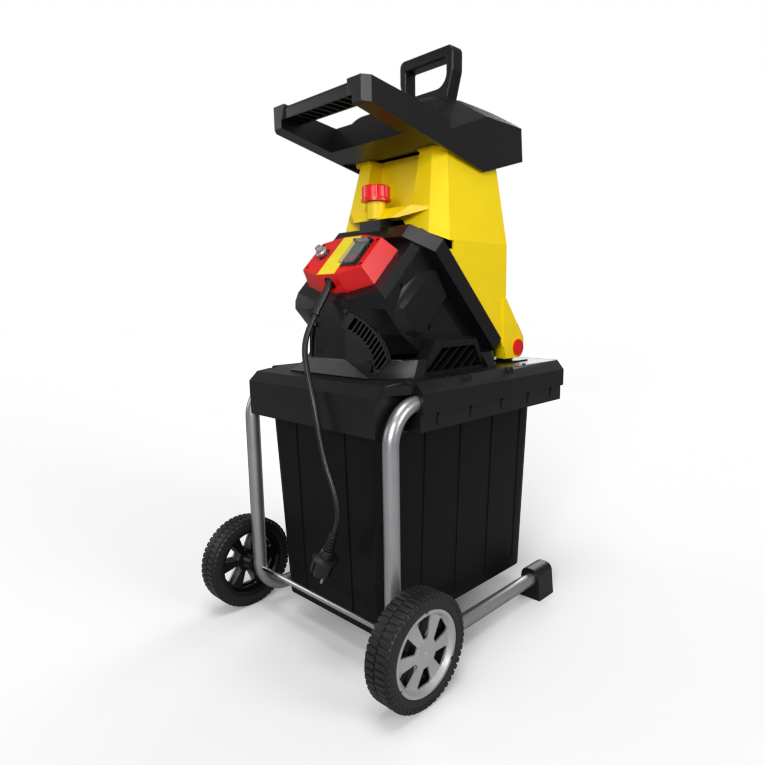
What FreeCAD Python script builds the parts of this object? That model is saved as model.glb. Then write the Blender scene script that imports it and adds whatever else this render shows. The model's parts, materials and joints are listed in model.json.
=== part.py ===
import FreeCAD, Part
import Sketcher
import math
import os
import re
from FreeCAD import Placement, Rotation, Vector

# Electric garden shredder on a two-wheeled tube frame, in millimetres, +Z up.
# +X is the machine's right, -Y the wheel and switch side, +Y the side the box pulls out.
# The origin is on the floor, under the middle of the outer box.

size = {
    # wheels and axle
    "wheel_radius": 90, "wheel_width": 46, "wheel_face": 255,
    "rim_radius": 68, "hub_radius": 16, "cap_radius": 67.5,
    "axle_y": -193, "axle_radius": 5, "axle_end": 243.6, "running_gap": 0.05, "retainer_radius": 10,
    # C-shaped side frames
    "tube_radius": 12.7, "tube_wall": 1.5, "tube_x": 183, "high_run": 451, "low_run": 40,
    "bend_radius": 60, "high_end": 236, "low_end": 250,
    "foot_front": 207, "foot_back": 260, "foot_half": 24, "foot_top": 63, "foot_toe": 6,
    # cover that closes the box and carries the machine
    "deck": 484, "cover_wall": 4, "cover_front": -207, "cover_front_half": 165,
    "cover_nose": -189, "cover_nose_top": 480, "cover_face_top": 464, "cover_bottom": 403,
    "band_half": 201, "band_front": -140, "band_back": 283, "band_top": 466, "band_bottom": 435,
    "deck_half": 186, "skirt_half": 195, "skirt_bottom": 406, "skirt_back": 274,
    "rail_top": 411.6, "rail_inner": 153, "notch_wide": 7,
    "spout_half": 82, "spout_front": 68, "spout_back": 148,
    # collecting box
    "box_bottom": 50, "box_top": 412, "box_low_half": 134, "box_high_half": 149,
    "box_low_front": -166, "box_high_front": -177, "box_low_back": 252, "box_high_back": 254,
    "box_wall": 3, "box_corner": 22, "rim_half": 158, "rim_front": -188, "rim_back": 262,
    "rim_thick": 4, "flute_first": -80, "flute_pitch": 96, "flute_half": 6, "flute_low": 70,
    "flute_high": 400, "end_flute_x": 65,
    # cutting plane: slopes at 45 degrees, its normal rises towards the box side
    "disc_y": 47.5, "disc_z": 638.5, "slope": 45,
    "chamber_half": 140, "chamber_high": -131, "chamber_low": 150, "chamber_shoulder": -93,
    "chamber_neck": 90, "chamber_thick": 30, "chamber_bore": 108.5, "chamber_floor": 8, "seam": 0.5,
    "window_half": 80, "window_high": 58, "window_low": 104,
    # motor housing
    "house_front": -150, "house_brow": 606.6, "house_peak_y": -56.6, "house_peak_z": 700,
    "house_toe_y": 132.4, "house_toe_z": 511, "house_heel_y": 154, "house_heel_z": 532.6,
    "house_back": 166, "house_half": 116, "house_wall": 5, "brow_cut": 12, "groove_depth": 8,
    "plinth_half": 140, "plinth_top": 510, "plinth_flare": 10, "plinth_corner": 104,
    "facet_x": 38, "facet_y": -83, "facet_side": -104, "facet_turn": 33.3,
    "motor_bore": 52, "motor_depth": 90, "barrel_radius": 57, "barrel_length": 136,
    # front corner of the housing, swept back towards the side: its line on the side wall
    "sweep_brow_y": -131, "sweep_brow_z": 625.5, "sweep_high_y": -133, "sweep_high": 593,
    "sweep_low_y": -95, "sweep_low": 551, "sweep_end_y": -35, "sweep_wall": 7,
    # raised pad on each side of the housing, and the louvre below it
    "pad_rise": 8, "well_depth": 4, "louvre_out": 141, "louvre_low_y": -79, "louvre_high_y": -40,
    "louvre_top": 541, "louvre_back_top": 536.5, "louvre_back_y": 74, "louvre_end_y": 98,
    "slat_pitch": 26.5, "slat_thick": 3.4, "slat_lean": 62.4,
    # motor and cutter, measured down the sloping shaft from the cutting plane
    "stator_outer": 51.9, "stator_inner": 27.5, "stator_top": 46, "stator_length": 52,
    "rotor_radius": 26.5, "shaft_radius": 7, "shaft_length": 128, "bearing_radius": 15,
    "bearing_width": 9, "end_bearing": 11, "fan_radius": 44, "fan_top": 106, "fan_width": 12,
    "disc_radius": 103, "disc_top": 9, "disc_thick": 6, "blade_thick": 4,
    # hopper
    "hopper_top": 862, "hopper_top_half": 106, "hopper_top_front": 14, "hopper_top_back": 190,
    "hopper_mid": 705, "hopper_mid_half": 135, "hopper_mid_front": -22, "hopper_mid_back": 199,
    "hopper_base": 491.5, "hopper_base_half": 136, "hopper_wall": 4, "hopper_corner": 26,
    "niche_half": 60, "niche_floor": 765, "niche_back": 40,
    "lip_front": -46, "lip_low": 745, "lip_flat": 44, "lip_half": 100,
    "neck_radius": 16.5, "neck_top": 776, "lock_y": -35,
    "hinge_y": 212, "hinge_z": 512, "lug_radius": 21, "lug_inner": 116, "lug_outer": 138,
    "pin_radius": 5, "plate_wall": 3, "ear_inner": 96, "ear_outer": 115, "hinge_cap_radius": 16,
    # hood with the carrying handle
    "hood_half": 119, "hood_front": -168, "hood_low_front": 893, "hood_high_front": 929,
    "hood_joint_y": -37, "hood_joint_z": 912, "hood_low_y": 121, "hood_low": 831,
    "hood_crease_y": 158, "hood_crease": 841, "hood_tail_y": 246, "hood_tail": 866,
    "hood_rear_y": 236, "hood_rear": 962, "hood_crown": 977, "hood_crown_y": 100,
    "hood_step_y": -45, "hood_step": 921, "hood_foot_y": -60, "hood_foot": 878,
    "hood_wall": 4, "arm_inner": 88, "grip_back": -123.5, "hood_plate": 862,
    "bar_low": 906, "bar_half": 78, "bar_set": 1.5, "bar_face": 926.8, "bar_heel": 920.9,
    "cell_half": 7, "cell_roof": 917,
    "arch_shoulder": 925, "arch_flat": 38,
    # pusher and feed chute
    "pusher_y": 112, "pusher_half": 60, "pusher_depth": 28, "pusher_low": 720, "pusher_top": 966,
    "chute_gap": 4, "chute_wall": 4, "chute_top": 936,
    "handle_half": 65, "handle_top": 1054, "handle_arm": 16, "handle_thick": 15,
    "handle_low": 986, "handle_base_half": 52,
    # lock knob
    "knob_radius": 26.5, "knob_low": 777.2, "knob_high": 804, "screw_radius": 4, "screw_tip": 739,
    "post_half": 26, "post_front": -52, "post_back": -22, "post_top": 744,
    "insert_radius": 10, "insert_depth": 14,
    # switch box, on the sloping front of the housing
    "switch_y": -99, "switch_z": 657.6, "switch_height": 34,
    "base_half": 84, "base_nose": 30, "base_low": -54, "base_chin": -36, "base_cheek": 42.5, "base_high": 56,
    "face_half": 75, "face_nose": 27, "face_low": -46, "face_chin": -30, "face_cheek": 36, "face_high": 48,
    "notch_half": 11, "notch_back": -38.4, "notch_floor": 6, "notch_roof": 28.5,
    "plate_x": 42, "plate_half": 20, "plate_low": -28, "plate_high": 30, "plate_thick": 6,
    "button_half": 8, "button_gap": 0.4, "button_low": -20, "button_mid": -2, "button_high": 16,
    "button_rise": 3, "flap_thick": 2, "flap_lift": 41, "flap_hinge": 27, "flap_pin": 1.2,
    "unit_height": 18, "reset_x": -48, "reset_y": 6, "reset_radius": 6,
    "reset_rise": 18, "boot_radius": 10, "boot_rise": 9,
    # strain relief, cord and plug
    "relief_y": -141, "relief_z": 643, "relief_length": 70.7, "relief_angle": 146.5,
    "relief_root": 8, "relief_tip": 5.8, "cord_radius": 4.5,
    "plug_boot": 40, "plug_neck": 52, "plug_flange": 21, "plug_body": 18.5, "plug_length": 84,
    "plug_pin_radius": 2.4, "plug_pin_length": 19, "plug_pin_pitch": 9.5, "plug_angle": 206.565,
    # grilles and louvres of the motor housing
    "grille_thick": 5, "grille_margin": 2.2, "grille_bar": 2.8, "seat_depth": 45,
    # screws
    "screw_head": 3.4, "screw_shank": 1.8,
}

doc = FreeCAD.newDocument("garden_shredder")
dims = doc.addObject("Spreadsheet::Sheet", "dims")
desk = doc.addObject("Spreadsheet::Sheet", "desk")
for row, (alias, number) in enumerate(size.items(), 1):
    dims.set("A%d" % row, alias)
    dims.set("B%d" % row, str(number))
    dims.setAlias("B%d" % row, alias)
doc.recompute()

parts = []


# ---------------------------------------------------------------- helpers
def bound(text):
    """an expression with each dimension's name pointing at its cell"""
    def cell(match):
        word = match.group(0)
        return "dims." + word if word in size else word
    return re.sub(r"[a-z_]+", cell, str(text))


def value(text):
    """the number that an expression gives"""
    desk.set("A1", "=" + bound(text))
    desk.recompute()
    return float(desk.get("A1"))


def new_body(label):
    body = doc.addObject("PartDesign::Body", label)
    body.Label = label
    return body


def keep(thing, label=None):
    """list a finished sub-part"""
    if label:
        thing.Label = label
    parts.append(thing)
    return thing


def place(thing, x="0", y="0", z="0", axis=Vector(0, 0, 1), angle=0):
    """stand a sub-part at a bound position"""
    thing.Placement = Placement(Vector(0, 0, 0), Rotation(axis, angle))
    for name, text in (("x", x), ("y", y), ("z", z)):
        thing.setExpression("Placement.Base." + name, bound(text))
    return thing


def on_plane(body, role, lift="0", turn=None, at=None):
    """a sketch on one of the body's own planes, lifted along its normal"""
    sketch = body.newObject("Sketcher::SketchObject", body.Name + "_sketch")
    base = [item for item in body.Origin.OriginFeatures if item.Role == role][0]
    sketch.AttachmentSupport = [(base, "")]
    sketch.MapMode = "FlatFace"
    rotation = Rotation(Vector(1, 0, 0), turn) if turn is not None else Rotation()
    if at:
        sketch.AttachmentOffset = Placement(Vector(*[value(text) for text in at]), rotation)
    else:
        sketch.AttachmentOffset = Placement(Vector(0, 0, 0), rotation)
        sketch.setExpression("AttachmentOffset.Base.z", bound(lift))
    return sketch


def pin_point(sketch, shape, end, corner):
    """hold a sketch point at a bound place"""
    for kind, text in (("DistanceX", corner[0]), ("DistanceY", corner[1])):
        index = sketch.addConstraint(Sketcher.Constraint(kind, -1, 1, shape, end, value(text)))
        sketch.setExpression("Constraints[%d]" % index, bound(text))


def round_corner(enter, centre, leave, left_turn):
    """the arc of a rounded corner, always drawn anticlockwise"""
    start, stop = (enter, leave) if left_turn else (leave, enter)
    radius = (start - centre).Length
    angles = [math.atan2(spot.y - centre.y, spot.x - centre.x) for spot in (start, stop)]
    circle = Part.Circle(centre, Vector(0, 0, 1), radius)
    return Part.ArcOfCircle(circle, angles[0], angles[1])


def outline(sketch, corners, closed=True):
    """straight sides between bound corners; a third entry rounds that corner"""
    spots = [Vector(value(c[0]), value(c[1]), 0) for c in corners]
    count = len(corners)
    cuts = []
    for i, corner in enumerate(corners):
        ends = (i == 0 or i == count - 1) and not closed
        if len(corner) < 3 or ends:
            cuts.append(None)
            continue
        radius = value(corner[2])
        here = spots[i]
        back = (spots[i - 1] - here).normalize()
        ahead = (spots[(i + 1) % count] - here).normalize()
        half = back.getAngle(ahead) / 2
        reach = radius / math.tan(half)
        centre = here + (back + ahead).normalize() * (radius / math.sin(half))
        left_turn = back.cross(ahead).z < 0
        cuts.append((here + back * reach, centre, here + ahead * reach, left_turn))
    sides = count if closed else count - 1
    lines = []
    for i in range(sides):
        start = cuts[i][2] if cuts[i] else spots[i]
        after = (i + 1) % count
        stop = cuts[after][0] if cuts[after] else spots[after]
        lines.append(sketch.addGeometry(Part.LineSegment(start, stop), False))
    for i, corner in enumerate(corners):
        before = lines[i - 1] if (closed or i > 0) else None
        after = lines[i] if i < sides else None
        if cuts[i]:
            arc = sketch.addGeometry(round_corner(*cuts[i]), False)
            first, last = (1, 2) if cuts[i][3] else (2, 1)
            sketch.addConstraint(Sketcher.Constraint("Tangent", before, 2, arc, first))
            sketch.addConstraint(Sketcher.Constraint("Tangent", arc, last, after, 1))
            index = sketch.addConstraint(Sketcher.Constraint("Radius", arc, value(corner[2])))
            sketch.setExpression("Constraints[%d]" % index, bound(corner[2]))
            point = sketch.addGeometry(Part.Point(spots[i]), True)
            pin_point(sketch, point, 1, corner)
            sketch.addConstraint(Sketcher.Constraint("PointOnObject", point, 1, before))
            sketch.addConstraint(Sketcher.Constraint("PointOnObject", point, 1, after))
        elif before is not None and after is not None:
            sketch.addConstraint(Sketcher.Constraint("Coincident", before, 2, after, 1))
            pin_point(sketch, after, 1, corner)
        elif after is not None:
            pin_point(sketch, after, 1, corner)
        else:
            pin_point(sketch, before, 2, corner)
    return sketch


def ring(sketch, x, y, radius):
    """a bound circle"""
    circle = Part.Circle(Vector(value(x), value(y), 0), Vector(0, 0, 1), value(radius))
    index = sketch.addGeometry(circle, False)
    pin_point(sketch, index, 3, (x, y))
    spot = sketch.addConstraint(Sketcher.Constraint("Radius", index, value(radius)))
    sketch.setExpression("Constraints[%d]" % spot, bound(radius))
    return sketch


def slab(x_low, y_low, x_high, y_high):
    """the four corners of a rectangle"""
    return [(x_low, y_low), (x_high, y_low), (x_high, y_high), (x_low, y_high)]


def eight(half, front, back, cut):
    """a rectangle with its four corners cut off"""
    return [("-(%s) + %s" % (half, cut), front), ("%s - %s" % (half, cut), front),
            (half, "%s + %s" % (front, cut)), (half, "%s - %s" % (back, cut)),
            ("%s - %s" % (half, cut), back), ("-(%s) + %s" % (half, cut), back),
            ("-(%s)" % half, "%s - %s" % (back, cut)), ("-(%s)" % half, "%s + %s" % (front, cut))]


def feature(body, kind, name, **settings):
    made = body.newObject("PartDesign::" + kind, body.Name + "_" + name)
    for key, setting in settings.items():
        setattr(made, key, setting)
    return made


def sound(body):
    """stop as soon as a feature leaves a broken shape"""
    if not body.Shape.isValid():
        raise RuntimeError("%s breaks %s" % (body.Tip.Name, body.Label))


def pad(body, sketch, length, both=False, reverse=False):
    made = feature(body, "Pad", "pad", Profile=sketch, Reversed=reverse)
    made.SideType = "Symmetric" if both else "One side"
    made.setExpression("Length", bound(length))
    doc.recompute()
    sound(body)
    return made


def pocket(body, sketch, length=None, both=False, reverse=False):
    before = body.Shape.Volume
    made = feature(body, "Pocket", "pocket", Profile=sketch, Reversed=reverse)
    made.SideType = "Symmetric" if both else "One side"
    if length is None:
        made.Type = "ThroughAll"
    else:
        made.setExpression("Length", bound(length))
    doc.recompute()
    if body.Shape.Volume > before - 1e-3:
        raise RuntimeError("pocket cuts nothing in " + body.Label)
    sound(body)
    return made


def turn_about(body, sketch, axis, cut=False):
    kind = "Groove" if cut else "Revolution"
    before = body.Shape.Volume if cut else 0
    made = feature(body, kind, "turn", Profile=sketch, ReferenceAxis=(sketch, [axis]))
    made.Angle = 360
    doc.recompute()
    if cut and body.Shape.Volume > before - 1e-3:
        raise RuntimeError("groove cuts nothing in " + body.Label)
    return made


def loft(body, sketches, cut=False):
    kind = "SubtractiveLoft" if cut else "AdditiveLoft"
    before = body.Shape.Volume if cut else 0
    made = feature(body, kind, "loft", Profile=sketches[0], Ruled=True)
    made.Sections = sketches[1:]
    doc.recompute()
    if cut and body.Shape.Volume > before - 1e-3:
        raise RuntimeError("loft cuts nothing in " + body.Label)
    return made


def dress(body, kind, amount, test):
    """fillet or chamfer the edges of the tip that pass a test"""
    tip = body.Tip
    names = ["Edge%d" % (i + 1) for i, edge in enumerate(tip.Shape.Edges) if test(edge)]
    if not names:
        raise RuntimeError("no edge to dress in " + body.Label)
    made = feature(body, kind, kind.lower(), Base=(tip, names))
    made.setExpression("Radius" if kind == "Fillet" else "Size", bound(amount))
    doc.recompute()
    return made


def around(body, made, axis, count):
    """repeat a feature about one of the body's own axes"""
    line = [item for item in body.Origin.OriginFeatures if item.Role == axis][0]
    pattern = feature(body, "PolarPattern", "around", Originals=[made], Axis=(line, [""]))
    pattern.Angle = 360
    pattern.Occurrences = count
    body.Tip = pattern
    doc.recompute()
    return pattern


def along(body, made, axis, length, count):
    """repeat a feature along one of the body's own axes"""
    line = [item for item in body.Origin.OriginFeatures if item.Role == axis][0]
    pattern = feature(body, "LinearPattern", "along", Originals=[made], Direction=(line, [""]))
    pattern.setExpression("Length", bound(length))
    pattern.Occurrences = count
    body.Tip = pattern
    doc.recompute()
    return pattern


def mirror(body, made, role="YZ_Plane"):
    plane = [item for item in body.Origin.OriginFeatures if item.Role == role][0]
    made = made if isinstance(made, list) else [made]
    pattern = feature(body, "Mirrored", "mirror", Originals=made, MirrorPlane=(plane, [""]))
    body.Tip = pattern
    doc.recompute()
    return pattern


def rod(label, radius, length):
    made = doc.addObject("Part::Cylinder", label)
    made.Label = label
    made.setExpression("Radius", bound(radius))
    made.setExpression("Height", bound(length))
    return made


def boolean(kind, label, base, tool):
    made = doc.addObject("Part::" + kind, label)
    made.Label = label
    if kind == "MultiFuse":
        made.Shapes = [base] + tool
    else:
        made.Base = base
        made.Tool = tool
    doc.recompute()
    return made


def vertical(edge):
    ends = [v.Point for v in edge.Vertexes]
    if len(ends) < 2:
        return False
    return abs(ends[0].x - ends[1].x) < 1e-4 and abs(ends[0].y - ends[1].y) < 1e-4


X_AXIS = Vector(1, 0, 0)
Y_AXIS = Vector(0, 1, 0)


# ---------------------------------------------------------------- wheels and axle
def tyre(side, name):
    """rubber tyre with two rows of tread blocks"""
    body = new_body(name + "_tyre")
    section = on_plane(body, "XY_Plane")
    half = "wheel_width / 2"
    outline(section, [("-" + half, "rim_radius"), ("-" + half, "wheel_radius - 7", "4"),
                      ("-" + half + " + 6", "wheel_radius"), (half + " - 6", "wheel_radius"),
                      (half, "wheel_radius - 7", "4"), (half, "rim_radius")])
    turn_about(body, section, "H_Axis")
    place(body, "%d * (wheel_face - wheel_width / 2)" % side, "axle_y", "wheel_radius")
    return keep(body)


def core(side, name):
    """moulded wheel body: rim, dished web with windows, and hub"""
    body = new_body(name + "_core")
    section = on_plane(body, "XY_Plane")
    half = "wheel_width / 2"
    bore = "axle_radius + running_gap"
    outline(section, [("-%s - 10" % half, bore), ("-%s - 10" % half, "hub_radius"),
                      ("-4", "hub_radius"), ("-4", "rim_radius - 5"),
                      ("-%s + 3" % half, "rim_radius - 5"), ("-%s + 3" % half, "rim_radius"),
                      (half + " - 3", "rim_radius"), (half + " - 3", "rim_radius - 5"),
                      ("2", "rim_radius - 5"), ("2", "hub_radius"),
                      (half + " - 14", "hub_radius"), (half + " - 14", bore)])
    turn_about(body, section, "H_Axis")
    window = on_plane(body, "YZ_Plane")
    outline(window, [("-7", "21", "3"), ("7", "21", "3"), ("19", "57", "5"), ("-19", "57", "5")])
    cut = pocket(body, window, "40", both=True)
    around(body, cut, "X_Axis", 6)
    angle = 0 if side > 0 else 180
    place(body, "%d * (wheel_face - wheel_width / 2)" % side, "axle_y", "wheel_radius",
          Vector(0, 0, 1), angle)
    return keep(body)


def hub_cap(side, name):
    """silver trim with six broad spokes"""
    body = new_body(name + "_hub_cap")
    section = on_plane(body, "XY_Plane")
    face = "wheel_width / 2 - 1"
    outline(section, [(face + " - 8", "0"), (face + " - 6", "20"), (face + " - 10", "52"),
                      (face + " - 10", "58"), (face + " - 2", "62.5"), (face + " - 2", "cap_radius - 1"),
                      (face, "cap_radius - 1"), (face, "61.5"), (face + " - 7", "56"),
                      (face + " - 7", "52"), (face + " - 3", "20"), (face + " - 4", "0")])
    turn_about(body, section, "H_Axis")
    window = on_plane(body, "YZ_Plane")
    outline(window, [("-5", "23", "3"), ("5", "23", "3"), ("17", "55", "4"), ("-17", "55", "4")])
    cut = pocket(body, window, "60", both=True)
    around(body, cut, "X_Axis", 6)
    nick = on_plane(body, "YZ_Plane")
    outline(nick, slab("-2.5", "cap_radius - 4", "2.5", "cap_radius + 1"))
    cut = pocket(body, nick, "60", both=True)
    around(body, cut, "X_Axis", 3)
    angle = 0 if side > 0 else 180
    place(body, "%d * (wheel_face - wheel_width / 2)" % side, "axle_y", "wheel_radius",
          Vector(0, 0, 1), angle)
    return keep(body)


for side, name in ((1, "right"), (-1, "left")):
    tyre(side, name)
    core(side, name)
    hub_cap(side, name)

axle = rod("axle", "axle_radius", "2 * axle_end")
place(axle, "-axle_end", "axle_y", "wheel_radius", Y_AXIS, 90)
keep(axle)

retainers = new_body("axle_retainers")
washer = on_plane(retainers, "YZ_Plane", "axle_end - 2.4")
ring(washer, "axle_y", "wheel_radius", "retainer_radius")
ring(washer, "axle_y", "wheel_radius", "axle_radius")
mirror(retainers, pad(retainers, washer, "2"))
keep(retainers)


# ---------------------------------------------------------------- tube frame
def frame_tube(side, name):
    """bent steel tube: high run under the deck, leg, low run to the foot"""
    body = new_body(name + "_frame_tube")
    path = on_plane(body, "YZ_Plane")
    outline(path, [("high_end", "high_run"), ("axle_y", "high_run", "bend_radius"),
                   ("axle_y", "low_run", "bend_radius"), ("low_end", "low_run")], closed=False)
    section = on_plane(body, "XZ_Plane", "-high_end")
    ring(section, "0", "high_run", "tube_radius")
    ring(section, "0", "high_run", "tube_radius - tube_wall")
    doc.recompute()
    pipe = feature(body, "AdditivePipe", "pipe", Profile=section, Spine=(path, []))
    pipe.Transition = "Transformed"
    doc.recompute()
    hole = on_plane(body, "YZ_Plane")
    ring(hole, "axle_y", "wheel_radius", "axle_radius + running_gap")
    pocket(body, hole, "4 * tube_radius", both=True)
    place(body, "%d * tube_x" % side)
    return keep(body)


def foot(side, name):
    """plastic shoe with an arched top, pushed over the tube end"""
    body = new_body(name + "_foot")
    front = on_plane(body, "XZ_Plane", "-foot_front")
    outline(front, [("-foot_half", "0"), ("foot_half", "0"),
                    ("foot_half - foot_toe", "foot_top", "15"),
                    ("-foot_half + foot_toe", "foot_top", "15")])
    pad(body, front, "foot_back - foot_front", reverse=True)
    socket = on_plane(body, "XZ_Plane", "-foot_front")
    ring(socket, "0", "low_run", "tube_radius")
    pocket(body, socket, "low_end - foot_front")
    place(body, "%d * tube_x" % side)
    return keep(body)


for side, name in ((1, "right"), (-1, "left")):
    frame_tube(side, name)
    foot(side, name)


# ---------------------------------------------------------------- base cover
cover = new_body("base_cover")
band = on_plane(cover, "XZ_Plane", "-band_front")
outline(band, [("-skirt_half", "skirt_bottom"), ("-skirt_half", "band_bottom"),
               ("-band_half", "band_bottom"), ("-band_half", "band_top"), ("-deck_half", "deck"),
               ("deck_half", "deck"), ("band_half", "band_top"), ("band_half", "band_bottom"),
               ("skirt_half", "band_bottom"), ("skirt_half", "skirt_bottom")])
pad(cover, band, "band_back - band_front", reverse=True)
nose = on_plane(cover, "YZ_Plane")
outline(nose, [("cover_front", "cover_bottom"), ("cover_front", "cover_face_top"),
               ("cover_nose", "cover_nose_top"), ("band_front", "deck"),
               ("band_front + 10", "deck"), ("band_front + 10", "cover_bottom")])
pad(cover, nose, "2 * cover_front_half", both=True)
ledge = on_plane(cover, "XY_Plane", "band_top")
outline(ledge, [("-cover_front_half", "cover_nose"), ("cover_front_half", "cover_nose"),
                ("deck_half", "band_front - 10"), ("deck_half", "band_front + 1"),
                ("-deck_half", "band_front + 1"), ("-deck_half", "band_front - 10")])
pad(cover, ledge, "cover_nose_top - band_top")
hollow = on_plane(cover, "XZ_Plane", "-band_front - cover_wall")
w = "cover_wall"
outline(hollow, [("-skirt_half + " + w, "skirt_bottom - 1"), ("-skirt_half + " + w, "band_bottom + 2"),
                 ("-band_half + " + w, "band_bottom + 2"), ("-band_half + " + w, "band_top - 2"),
                 ("-deck_half + 2", "deck - " + w), ("deck_half - 2", "deck - " + w),
                 ("band_half - " + w, "band_top - 2"), ("band_half - " + w, "band_bottom + 2"),
                 ("skirt_half - " + w, "band_bottom + 2"), ("skirt_half - " + w, "skirt_bottom - 1")])
pocket(cover, hollow, "band_back - band_front - 2 * cover_wall")
inner_nose = on_plane(cover, "YZ_Plane")
outline(inner_nose, [("cover_front + " + w, "cover_bottom - 1"), ("cover_front + " + w, "cover_face_top - 2"),
                     ("cover_nose + 2", "cover_nose_top - " + w), ("band_front", "deck - " + w),
                     ("band_front + 10", "deck - " + w), ("band_front + 10", "cover_bottom - 1")])
pocket(cover, inner_nose, "2 * (cover_front_half - cover_wall)", both=True)
for side in ("-1", "1"):
    mouth = on_plane(cover, "XZ_Plane", "-band_front + 60")
    ring(mouth, side + " * tube_x", "high_run", "tube_radius + 1.5")
    pocket(cover, mouth, "70")
spout = on_plane(cover, "XY_Plane", "deck + 1")
outline(spout, slab("-spout_half", "spout_front", "spout_half", "spout_back"))
pocket(cover, spout, "10")
rear_slot = on_plane(cover, "XZ_Plane", "-band_back + 10")
outline(rear_slot, slab("-skirt_half + " + w, "skirt_bottom - 1", "skirt_half - " + w, "box_top + 8"))
pocket(cover, rear_slot, "20")
for side in ("-1", "1"):
    notches = on_plane(cover, "YZ_Plane", side + " * (skirt_half + 1)")
    for middle in ("-102", "-16", "73", "160", "243"):
        outline(notches, [(middle + " - notch_wide", "band_bottom - 2"), (middle, "skirt_bottom + 5"),
                          (middle + " + notch_wide", "band_bottom - 2")])
    pocket(cover, notches, "3.5", reverse=side == "-1")
    for middle in ("-20", "105"):
        clip = on_plane(cover, "YZ_Plane", side + " * (deck_half - 1)")
        outline(clip, [(middle + " - 9", "band_top + 1"), (middle + " - 9", "deck + 2", "8"),
                       (middle + " + 9", "deck + 2", "8"), (middle + " + 9", "band_top + 1")])
        pad(cover, clip, "9", reverse=side == "-1")
rail = on_plane(cover, "XZ_Plane", "-band_front - cover_wall")
outline(rail, slab("rail_inner", "skirt_bottom", "skirt_half - cover_wall", "rail_top"))
outline(rail, slab("-skirt_half + cover_wall", "skirt_bottom", "-rail_inner", "rail_top"))
pad(cover, rail, "skirt_back - band_front - cover_wall", reverse=True)
keep(cover)


# ---------------------------------------------------------------- collecting box
def box_solid(name, inset):
    """tapering tub; the inset gives its inside"""
    body = new_body(name)
    base = "box_bottom + %s" % inset
    low = on_plane(body, "XY_Plane", base)
    radius = "box_corner - %s" % inset
    low_half = "(box_low_half - %s)" % inset
    high_half = "(box_high_half - %s)" % inset
    outline(low, [c + (radius,) for c in slab("-" + low_half, "box_low_front + %s" % inset,
                                              low_half, "box_low_back - %s" % inset)])
    high = on_plane(body, "XY_Plane", "box_top + rim_thick" if inset != "0" else "box_top")
    outline(high, [c + (radius,) for c in slab("-" + high_half, "box_high_front + %s" % inset,
                                               high_half, "box_high_back - %s" % inset)])
    doc.recompute()
    loft(body, [low, high])
    return body


tub = box_solid("box_outside", "0")
rim = on_plane(tub, "XY_Plane", "box_top")
outline(rim, [c + ("box_corner",) for c in slab("-rim_half", "rim_front", "rim_half", "rim_back")])
pad(tub, rim, "rim_thick")
inside = box_solid("box_inside", "box_wall")
doc.recompute()
tub = boolean("Cut", "box_tub", tub, inside)

flutes = new_body("box_flutes")
side_flute = on_plane(flutes, "XZ_Plane", "-(flute_first) + flute_half")
outline(side_flute, [("box_low_half - 0.3", "flute_low"), ("box_high_half - 2.2", "flute_high"),
                     ("box_high_half + 10", "flute_high"), ("box_high_half + 10", "flute_low")])
side_flute = pad(flutes, side_flute, "2 * flute_half", reverse=True)
along(flutes, side_flute, "Y_Axis", "3 * flute_pitch", 4)
for low, high, sign in (("box_low_front + 0.9", "box_high_front + 1.9", "-"),
                        ("box_low_back - 1.1", "box_high_back - 1.9", "+")):
    end = on_plane(flutes, "YZ_Plane", "end_flute_x - flute_half")
    far = ("box_high_front" if sign == "-" else "box_high_back") + sign + "10"
    outline(end, [(low, "flute_low"), (high, "flute_high"), (far, "flute_high"), (far, "flute_low")])
    pad(flutes, end, "2 * flute_half")
doc.recompute()
left_flutes = doc.addObject("Part::Mirroring", "box_flutes_left")
left_flutes.Source = flutes
left_flutes.Normal = X_AXIS
doc.recompute()
tub = boolean("Cut", "box_right_fluted", tub, flutes)
keep(boolean("Cut", "collection_box", tub, left_flutes))


# ---------------------------------------------------------------- cutting chamber, on the slope
def on_slope(thing):
    """lay a sub-part's own Z along the sloping shaft, its origin in the cutting plane"""
    return place(thing, "0", "disc_y", "disc_z", X_AXIS, -size["slope"])


chamber = new_body("cutting_chamber")
flat = on_plane(chamber, "XY_Plane", "-chamber_thick")
outline(flat, [("-chamber_neck", "chamber_high"), ("chamber_neck", "chamber_high"),
               ("chamber_half", "chamber_shoulder"), ("chamber_half", "chamber_low"),
               ("-chamber_half", "chamber_low"), ("-chamber_half", "chamber_shoulder")])
pad(chamber, flat, "chamber_thick - seam")
bowl = on_plane(chamber, "XY_Plane")
ring(bowl, "0", "0", "chamber_bore")
pocket(chamber, bowl, "chamber_thick - chamber_floor")
shaft_hole = on_plane(chamber, "XY_Plane")
ring(shaft_hole, "0", "0", "bearing_radius")
pocket(chamber, shaft_hole, "chamber_thick + 1")
window = on_plane(chamber, "XY_Plane")
outline(window, slab("-window_half", "window_high", "window_half", "window_low"))
pocket(chamber, window, "chamber_thick + 1")
on_slope(chamber)
keep(chamber)

# ---------------------------------------------------------------- motor housing
def on_facet(thing, tilt=0):
    """stand a sub-part's XZ plane on the right front facet of the housing"""
    place(thing, "facet_x", "house_front", "deck", Vector(0, 0, 1), size["facet_turn"])
    thing.Placement = Placement(thing.Placement.Base, thing.Placement.Rotation.multiply(Rotation(Y_AXIS, tilt)))
    return thing


def crescent(name, inset, depth, thick):
    """curved band across the facet; the inset gives the opening inside its rim"""
    body = new_body(name)
    band = on_plane(body, "XZ_Plane", depth)
    outline(band, [("-6 + 1.7 * %s" % inset, "81.5"), ("10", "104 - 1.7 * %s" % inset),
                   ("62 - %s" % inset, "76 - %s" % inset, "105"), ("74 - %s" % inset, "26"),
                   ("58.5", "5 + 1.6 * %s" % inset), ("48.5 + %s" % inset, "7 + %s" % inset),
                   ("44 + %s" % inset, "46 + %s" % inset, "70")])
    pad(body, band, thick)
    return on_facet(body)


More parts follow.
